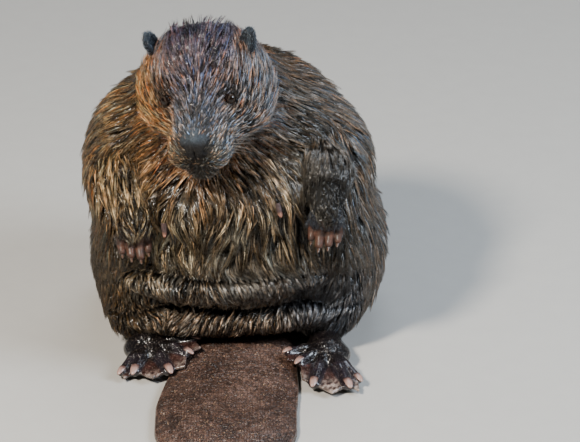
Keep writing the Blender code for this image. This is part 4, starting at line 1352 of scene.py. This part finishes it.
class BEAVER_OT_whiskers(bpy.types.Operator):
    """Fine whiskers from the muzzle"""

    bl_idname = "beaver.whiskers"
    bl_label = "Whiskers"

    def execute(self, context):
        draw = np.random.default_rng(14)
        rows, ranks = 3, 5
        count = rows * ranks
        row, rank = np.divmod(np.arange(count), ranks)
        t = np.linspace(0, 1, 7)[None, :, None]
        paths = []
        for sign in (-1, 1):
            start = np.stack([sign * (24 + 1.5 * row), 20 + 5.0 * rank, -14 - 6.0 * row], -1)
            start = start + draw.normal(0, 1, (count, 3))
            way = np.stack([sign * (1 + 0 * row), 0.55 + 0.1 * rank, -0.35 - 0.25 * row], -1)
            way = unit(way + draw.normal(0, 0.1, (count, 3)))
            length = draw.uniform(26, 46, count)[:, None, None]
            droop = np.array((0, 0.25, -0.35)) * t**2 * length
            paths.append((start[:, None] + way[:, None] * length * t + droop) @ HEAD_AXES + NOSE_TIP)
        path = np.concatenate(paths)
        along = np.gradient(path, axis=1)
        across = unit(np.cross(along, HEAD_AXES[2]))
        out = unit(np.cross(across, along))
        tint = np.tile(linear("#8f8378"), (len(path), 1))
        put_coat("whiskers", path, across, out, np.full(len(path), 0.45), tint, 0.8)
        return {"FINISHED"}


# A digit from the thumb outwards: its place across the left paw, its length, its radius, and how far its
# knuckle lies behind the palm's middle. The thumb is tucked behind the others.
FINGERS = ((-9, 15, 4.2, 11), (-14.2, 18, 4.9, 3), (-5, 24, 5.3, -1), (4.9, 22, 5.3, 1), (14, 18, 4.8, 4))
HEEL = {"left": (94, -52, 20), "right": (-90, -45, 20)}
BALL_OF_FOOT = {"left": np.array((98.0, -126, 17)), "right": np.array((-94.0, -112, 17))}
# Toe tips from the inner to the outer one, with each toe's radius
TOES = {
    "left": (
        ((58, -145, 24), 5.5),
        ((70, -161, 20), 6),
        ((85, -192, 10), 7),
        ((121, -195, 10), 7),
        ((132, -180, 9), 6),
    ),
    "right": (
        ((-44, -120, 26.5), 5.5),
        ((-51, -146, 23.5), 6),
        ((-71, -169, 14), 7),
        ((-107, -163, 10), 7),
        ((-121, -161, 8), 6),
    ),
}
WEB_THICKNESS, WEB_BULGE = 4.4, 0.4


def finger_joints(side, digit):
    """Knuckle, middle joint and tip of one finger, curled towards the belly."""
    across, length, _, behind = FINGERS[digit]
    aim, spread, back = paw_frame(side)
    across = across if side == "left" else -across
    knuckle = WRIST[side] + aim * 14 + spread * across + aim * 6 + back * behind
    middle = knuckle + (aim * 0.95 + back * 0.15) * length * 0.5
    tip = middle + (aim * 0.8 - back * 0.55) * length * 0.5
    return knuckle, middle, tip


def forepaw_field(p, side):
    """Wrist, palm and fingers; each finger thicker at its joints."""
    aim, spread, back = paw_frame(side)
    wrist, elbow = WRIST[side], ELBOW[side]
    field = ball(p, wrist + aim * 12, (17, 9.5, 15), np.column_stack([spread, back, aim]))
    field = melt(field, limb(p, wrist, wrist + (elbow - wrist) * 0.4, 12, 13), 8)
    for digit, (_, _, radius, _) in enumerate(FINGERS):
        knuckle, middle, tip = finger_joints(side, digit)
        r = radius * 0.95
        finger = melt(limb(p, knuckle, middle, r, r * 0.92), limb(p, middle, tip, r, r * 0.82), 1.2)
        finger = melt(finger, ball(p, middle + back * 0.6, (r * 1.02,) * 3), 2)
        field = melt(field, finger, 0.9)
    return field


def toe_joints(side, digit):
    """Root, knuckle and tip of one toe, the knuckle arched above the line between them."""
    tip = np.array(TOES[side][digit][0], float)
    root = BALL_OF_FOOT[side] + (tip - BALL_OF_FOOT[side]) * 0.12
    knuckle = root + (tip - root) * 0.55 + np.array([0, 0, 3.5])
    return root, knuckle, tip


def web_field(p, ankle, first, second):
    """A thin fan of skin between two toes: a flat plate whose edge bulges out past the toe tips."""
    a, b = first - ankle, second - ankle
    q = p - ankle
    height = q @ unit(np.cross(a, b))
    gram = np.array([[a @ a, a @ b], [a @ b, b @ b]])
    u, v = np.moveaxis(np.stack([q @ a, q @ b], -1) @ np.linalg.inv(gram), -1, 0)
    reach = 1 + WEB_BULGE * np.minimum(np.maximum(u, 0), np.maximum(v, 0))
    size = np.linalg.norm(a + b) / 2
    inside = np.maximum.reduce([-u * size * 0.7, -v * size * 0.7, (u + v - reach) * size])
    return np.maximum(np.abs(height) - WEB_THICKNESS / 2 * 0.8, inside)


def toes_field(p, side):
    """The five toes, each a little thicker at the root."""
    field = np.full(p.shape[:-1], 1e3)
    for digit, (_, radius) in enumerate(TOES[side]):
        root, knuckle, tip = toe_joints(side, digit)
        r = radius * 0.9
        toe = melt(limb(p, root, knuckle, 8, r), limb(p, knuckle, tip, r, radius * 0.85), 3)
        field = melt(field, toe, 3)
    return field


def hindfoot_field(p, side):
    """Sole, heel, toes and the webs between them."""
    heel, ball_of_foot = HEEL[side], BALL_OF_FOOT[side]
    field = melt(limb(p, heel, ball_of_foot, 19, 17), ball(p, ball_of_foot - (0, 4, 3), (27, 26, 14)), 8)
    field = melt(field, toes_field(p, side), 4)
    for digit in range(4):
        first, second = (toe_joints(side, digit + k)[2] - (0, 0, 1) for k in (0, 1))
        field = melt(field, web_field(p, ball_of_foot, first, second), 3)
    return field


@functools.lru_cache(maxsize=None)
def forepaw_skin(side):
    """Points and quads of one forepaw."""
    middle = WRIST[side] + (0, 0, -6)
    return skin_over(functools.partial(forepaw_field, side=side), middle - 44, middle + 44, 1.0)


@functools.lru_cache(maxsize=None)
def hindfoot_skin(side):
    """Points and quads of one hind foot, flattened where it stands on the floor."""
    low, high = BALL_OF_FOOT[side] - (80, 95, 30), BALL_OF_FOOT[side] + (80, 110, 50)
    points, quads = skin_over(functools.partial(hindfoot_field, side=side), low, high, 1.4)
    points[:, 2] = np.maximum(points[:, 2], 0.2)
    return points, quads


class BEAVER_OT_forepaws(bpy.types.Operator):
    """Forepaws with curled fingers"""

    bl_idname = "beaver.forepaws"
    bl_label = "Forepaws"

    def execute(self, context):
        bare = np.array(context.scene.beaver_skin.paw)
        for side in WRIST:
            points, quads = forepaw_skin(side)
            aim, _, _ = paw_frame(side)
            down = (points - WRIST[side]) @ aim
            off_finger = np.full(len(points), np.inf)
            for digit, (_, _, r, _) in enumerate(FINGERS):
                knuckle, middle, tip = finger_joints(side, digit)
                for start, end in ((knuckle, middle), (middle, tip)):
                    off_finger = np.minimum(off_finger, limb(points, start, end, r, r))
            # Grooves between the fingers are darkened to a fifth: painted shade
            between = smooth(-0.6, 0.8, off_finger) * smooth(18, 24, down)
            tint = blend(linear("#2f2724"), bare, smooth(8, 26, down)[:, None])
            tint = tint * (0.85 + 0.3 * waves(points, 9, 40))[:, None] * (1 - 0.8 * between)[:, None]
            tint = {"tint": opaque(tint)}
            piece = put_mesh("forepaw_skin_" + side, points, [quads], "paw", ("forepaw_" + side,), tint)
        return {"FINISHED"}


class BEAVER_OT_paw_coat(bpy.types.Operator):
    """Short sleek hair on the backs of the forepaws, down to the knuckles"""

    bl_idname = "beaver.paw_coat"
    bl_label = "Paw coat"

    def execute(self, context):
        for side, colours in PAW_COLOURS.items():
            aim, _, back = paw_frame(side)
            roots = even_roots(*forepaw_skin(side), 1.4, 17)
            onward, behind = (roots - WRIST[side]) @ aim, (roots - WRIST[side]) @ back
            roots = roots[(onward < 18 + 5 * smooth(0, 6, behind)) & (behind > -9)]
            field = functools.partial(forepaw_field, side=side)
            short_coat("forepaw_coat_" + side, roots, field, aim, (7, 11), 0.7, colours, 17)
        return {"FINISHED"}


class BEAVER_OT_hindfeet(bpy.types.Operator):
    """Webbed hind feet"""

    bl_idname = "beaver.hindfeet"
    bl_label = "Hind feet"

    def execute(self, context):
        settings = context.scene.beaver_skin
        for side in BALL_OF_FOOT:
            points, quads = hindfoot_skin(side)
            on_toe = (1 - smooth(0.5, 4, toes_field(points, side)))[:, None]
            reach = np.linalg.norm((points - BALL_OF_FOOT[side])[:, :2], axis=1)
            patchy = np.clip(0.5 + 0.6 * waves(points, 6, 41), 0, 1)
            pale = (smooth(50, 74, reach) * patchy)[:, None] * (1 - on_toe)
            tint = blend(np.array(settings.web), np.array(settings.foot), on_toe)
            tint = blend(tint, linear("#130f10"), smooth(44, 30, reach)[:, None])
            tint = blend(tint, linear("#bfab9f"), 0.75 * pale)
            tint = np.clip(tint * (0.9 + 0.25 * waves(points, 16, 42))[:, None], 0, 1)
            tint = {"tint": opaque(tint)}
            piece = put_mesh("hindfoot_skin_" + side, points, [quads], "foot", ("hindfoot_" + side,), tint)
        return {"FINISHED"}


def claw_rings(base, aim, up, length, width, height, droop=0.35, along=14, around=16):
    """Rings along an arc that bends down, from the base to a blunt tip: at share t the half sizes are
    width/2 and height/2 times (1 - 0.22 t) sqrt(1 - (0.97 t)^3.6), and the arc drops droop length t^2."""
    aim = unit(np.asarray(aim, float))
    side = unit(np.cross(aim, up))
    top = np.cross(side, aim)
    t = np.linspace(0, 1, along)[:, None, None]
    angle = np.linspace(0, 2 * np.pi, around, endpoint=False)[None, :, None]
    line = np.asarray(base, float) + aim * (t * length) - top * droop * length * t**2
    size = np.sqrt(1 - (0.97 * t) ** 3.6) * (1 - 0.22 * t)
    ridge = 1 - 0.12 * np.clip(-np.sin(angle), 0, 1)
    return line + side * np.cos(angle) * size * width / 2 + top * np.sin(angle) * ridge * size * height / 2


# Length, width and height of a claw, the hind one for a toe of radius 7
HIND_CLAW = (13.5, 9.4, 5)
FORE_CLAW = (6.5, 3.4, 3.2)


def hind_claw_rings(side):
    """Rings of the five claws of one hind foot, on top of the toes' tips."""
    rings = []
    for digit, (_, radius) in enumerate(TOES[side]):
        _, knuckle, tip = toe_joints(side, digit)
        aim = unit((tip - knuckle) * (1, 1, 0.25))
        length, width, height = (radius / 7 * size for size in HIND_CLAW)
        base = tip - aim * 3 + np.array([0, 0, 0.75 * radius])
        rings.append(claw_rings(base, aim, (0, 0, 1), length, width, height, droop=0.25))
    return rings


def fore_claw_rings(side):
    """Rings of the five claws of one forepaw, on from the fingers' tips."""
    _, _, back = paw_frame(side)
    rings = []
    for digit, (_, _, radius, _) in enumerate(FINGERS):
        _, middle, tip = finger_joints(side, digit)
        aim = unit(tip - middle)
        rings.append(claw_rings(tip + aim * (radius - 2.5) + back, aim, back, *FORE_CLAW))
    return rings


def share_along(rings):
    """Share of the way from base to tip at each point of a closed sweep through the rings."""
    return np.append(np.repeat(np.linspace(0, 1, len(rings)), rings.shape[1]), (0, 1))


class BEAVER_OT_claws(bpy.types.Operator):
    """Claws of all four feet"""

    bl_idname = "beaver.claws"
    bl_label = "Claws"

    def execute(self, context):
        for side in ("left", "right"):
            for kind, rings in (("hind", hind_claw_rings(side)), ("fore", fore_claw_rings(side))):
                points, walls, caps, start = [], [], [], 0
                for ring in rings:
                    co, (quads, ends) = closed_sweep(ring)
                    points.append(co)
                    walls.append(quads + start)
                    caps.append(ends + start)
                    start += len(co)
                piece = put_mesh(
                    f"claws_{kind}_{side}",
                    np.concatenate(points),
                    [np.concatenate(walls), np.concatenate(caps)],
                    kind + "_claw",
                    [f"claw_{kind}_{side}_{digit + 1}" for digit in range(5)],
                    {"along": np.concatenate([share_along(ring) for ring in rings])},
                )
        return {"FINISHED"}


def tail_size(s):
    """Middle line x and y, half width and thickness at share s from root to tip."""
    y = TAIL_TIP_Y + TAIL_LENGTH * (1 - s)
    x = TAIL_ROOT_X + (TAIL_BLADE_X - TAIL_ROOT_X) * np.clip(s / 0.6, 0, 1)
    narrow = 1 - 0.36 * np.clip(1 - s / 0.6, 0, 1) ** 1.6
    end = np.sqrt(np.clip(1 - np.clip((s - 1 + TIP_ROUNDING) / TIP_ROUNDING, 0, 1) ** 2, 0, 1))
    middle = TAIL_MIDDLE + (TAIL_ROOT - TAIL_MIDDLE) * np.clip(1 - s / 0.5, 0, 1) ** 1.5
    thick = TAIL_EDGE + (middle - TAIL_EDGE) * (0.35 + 0.65 * end)
    return x, y, TAIL_HALF_WIDTH * narrow * end, thick


def tail_rings(along=170, in_end=60, around=150):
    """Lens sections with a flat underside: the top follows |sin|^0.9, raised at the rounded rim, with a low
    unevenness of about half a millimetre."""
    straight = np.linspace(0, 1 - TIP_ROUNDING, along, endpoint=False)
    rounded = 1 - TIP_ROUNDING + TIP_ROUNDING * np.sin(np.linspace(0, np.pi / 2 * 0.97, in_end))
    x, y, half, thick = (v[:, None] for v in tail_size(np.concatenate([straight, rounded])))
    angle = np.linspace(0, 2 * np.pi, around, endpoint=False)[None, :]
    up = np.sin(angle)
    top = TAIL_EDGE + (thick - TAIL_EDGE) * np.abs(up) ** 0.9
    rim = np.exp(-(((np.abs(np.cos(angle)) - 0.985) / 0.012) ** 2)) * 1.1
    bottom = TAIL_EDGE * (1 - np.abs(up) ** 0.3) * (np.abs(up) < 0.3)
    z = np.where(up >= 0, top + rim, bottom)
    rings = np.stack([x + half * np.cos(angle), y + 0 * angle, z], -1)
    uneven = 0.5 * waves(rings, 22, 50) + 0.35 * waves(rings, 9, 51)
    rings[..., 2] += uneven * smooth(0.02, 0.2, up) * smooth(0, 0.1, half / TAIL_HALF_WIDTH)
    return rings


class BEAVER_OT_tail(bpy.types.Operator):
    """Flat scaled tail"""

    bl_idname = "beaver.tail"
    bl_label = "Tail"

    def execute(self, context):
        points, faces = closed_sweep(tail_rings())
        piece = put_mesh("tail_paddle", points, faces, "tail", ("tail",))
        return {"FINISHED"}


# Place of each teat and the way it points, and their length, width and height
TEATS = (((-74, -157, 178), (0.05, -0.5, -1)), ((46, -160, 202), (0.3, -0.6, -0.9)))
TEAT_SIZE = (15, 7, 6.6)


class BEAVER_OT_teats(bpy.types.Operator):
    """The two teats that show between the belly's locks"""

    bl_idname = "beaver.teats"
    bl_label = "Teats"

    def execute(self, context):
        for number, (place, aim) in enumerate(TEATS, 1):
            base = np.array(place) + (0, 3, 3)
            rings = claw_rings(base, aim, (0, -1, 0.4), *TEAT_SIZE, droop=0.05, along=20, around=20)
            points, faces = closed_sweep(rings)
            to_tip = smooth(0.55, 0.9, share_along(rings))[:, None]
            tint = opaque(blend(linear("#4a3a38"), linear("#a57562"), to_tip))
            piece = put_mesh(f"teat_{number}", points, faces, "nose", attributes={"tint": tint})
        return {"FINISHED"}


FLOOR_RADIUS, FLOOR_SIDES = 25.0, 96  # the radius in m
# Place and size in m and colour of each lamp; they all point at LIT_PLACE
LAMPS = {
    "key": ((-1.1, -1.5, 1.9), 0.4, (1.0, 0.93, 0.82)),
    "fill": ((1.8, -0.6, 1.5), 1.2, (0.76, 0.87, 1.0)),
    "top": ((0.3, 1.0, 2.4), 1.4, (0.78, 0.88, 1.0)),
}
LIT_PLACE = (0, -0.05, 0.18)
TOP_POWER = 34
# The camera looks down by CAMERA_TILT degrees at CAMERA_AIM, which is in mm about the seat
CAMERA_AIM, CAMERA_TILT = (59.4, -60, 139.8455), 25
CAMERA_DISTANCE, LENS = 5, 287  # in m and in mm


class BEAVER_OT_stage(bpy.types.Operator):
    """Pale floor that runs on to the horizon, studio lights and camera"""

    bl_idname = "beaver.stage"
    bl_label = "Stage"

    def execute(self, context):
        settings = context.scene.beaver_stage
        paper, tree, shader = finish("matt_paper_floor", Roughness=0.9)
        place = node(tree, "ShaderNodeTexCoord").outputs["Object"]
        # the paper's unevenness, 25 mm across
        grain = node(tree, "ShaderNodeTexNoise", {"Vector": place, "Scale": 40, "Detail": 3})
        low, high = (tuple(np.array(settings.floor) * k) + (1,) for k in (0.96, 1.03))
        uneven = {"Factor": grain.outputs["Fac"], MIX_A: low, MIX_B: high}
        tone = node(tree, "ShaderNodeMix", uneven, data_type="RGBA")
        tree.links.new(tone.outputs[MIXED], shader.inputs["Base Color"])
        # a disc, wide enough to fill the view behind the animal from every side
        angle = np.linspace(0, 2 * np.pi, FLOOR_SIDES, endpoint=False)
        rim = FLOOR_RADIUS * np.stack([np.cos(angle), np.sin(angle), 0 * angle], -1)
        mesh = bpy.data.meshes.new("floor")
        mesh.from_pydata(rim.tolist(), [], [list(range(FLOOR_SIDES))])
        mesh.materials.append(paper)
        floor = bpy.data.objects.new("floor", mesh)
        context.scene.collection.objects.link(floor)
        power = {"key": settings.key_power, "fill": settings.fill_power, "top": TOP_POWER}
        for name, (place, size, colour) in LAMPS.items():
            data = bpy.data.lights.new(name, "AREA")
            data.shape, data.size, data.energy, data.color = "DISK", size, power[name], colour
            lamp = bpy.data.objects.new(name, data)
            lamp.location = place
            lamp.rotation_euler = (Vector(LIT_PLACE) - Vector(place)).to_track_quat("-Z", "Y").to_euler()
            context.scene.collection.objects.link(lamp)
        world = bpy.data.worlds.new("studio")
        world.use_nodes = True
        sky = world.node_tree.nodes["Background"].inputs
        sky["Color"].default_value = (0.9, 0.95, 1, 1)
        sky["Strength"].default_value = 0.08
        context.scene.world = world
        data = bpy.data.cameras.new("camera")
        data.sensor_width, data.lens, data.clip_end = 36, LENS, 50
        camera = bpy.data.objects.new("camera", data)
        tilt = np.radians(CAMERA_TILT)
        camera.location = to_row(CAMERA_AIM) + CAMERA_DISTANCE * np.array([0, -np.cos(tilt), np.sin(tilt)])
        camera.rotation_euler = (np.pi / 2 - tilt, 0, 0)
        context.scene.collection.objects.link(camera)
        context.scene.camera = camera
        return {"FINISHED"}


# ------------------------------------------------------------------ panel and registration
PIECES = (
    BEAVER_OT_skin,
    BEAVER_OT_body_coat,
    BEAVER_OT_head_coat,
    BEAVER_OT_ears,
    BEAVER_OT_eyes,
    BEAVER_OT_nose,
    BEAVER_OT_whiskers,
    BEAVER_OT_forepaws,
    BEAVER_OT_hindfeet,
    BEAVER_OT_paw_coat,
    BEAVER_OT_claws,
    BEAVER_OT_tail,
    BEAVER_OT_teats,
    BEAVER_OT_stage,
)
SETTINGS = {"beaver_coat": CoatSettings, "beaver_skin": SkinSettings, "beaver_stage": StageSettings}


class BEAVER_PT_panel(bpy.types.Panel):
    bl_label = "Beaver"
    bl_idname = "BEAVER_PT_panel"
    bl_space_type = "VIEW_3D"
    bl_region_type = "UI"
    bl_category = "Beaver"

    def draw(self, context):
        for key, group in SETTINGS.items():
            box = self.layout.box()
            for name in group.__annotations__:
                box.prop(getattr(context.scene, key), name)
        for piece in PIECES:
            self.layout.operator(piece.bl_idname)


def register():
    for cls in (*SETTINGS.values(), *PIECES, BEAVER_PT_panel):
        bpy.utils.register_class(cls)
    for key, group in SETTINGS.items():
        setattr(bpy.types.Scene, key, PointerProperty(type=group))


def unregister():
    for key in SETTINGS:
        delattr(bpy.types.Scene, key)
    for cls in reversed((*SETTINGS.values(), *PIECES, BEAVER_PT_panel)):
        bpy.utils.unregister_class(cls)


def main():
    register()
    for piece in PIECES:
        group, name = piece.bl_idname.split(".")
        getattr(getattr(bpy.ops, group), name)()


if __name__ == "__main__":
    main()
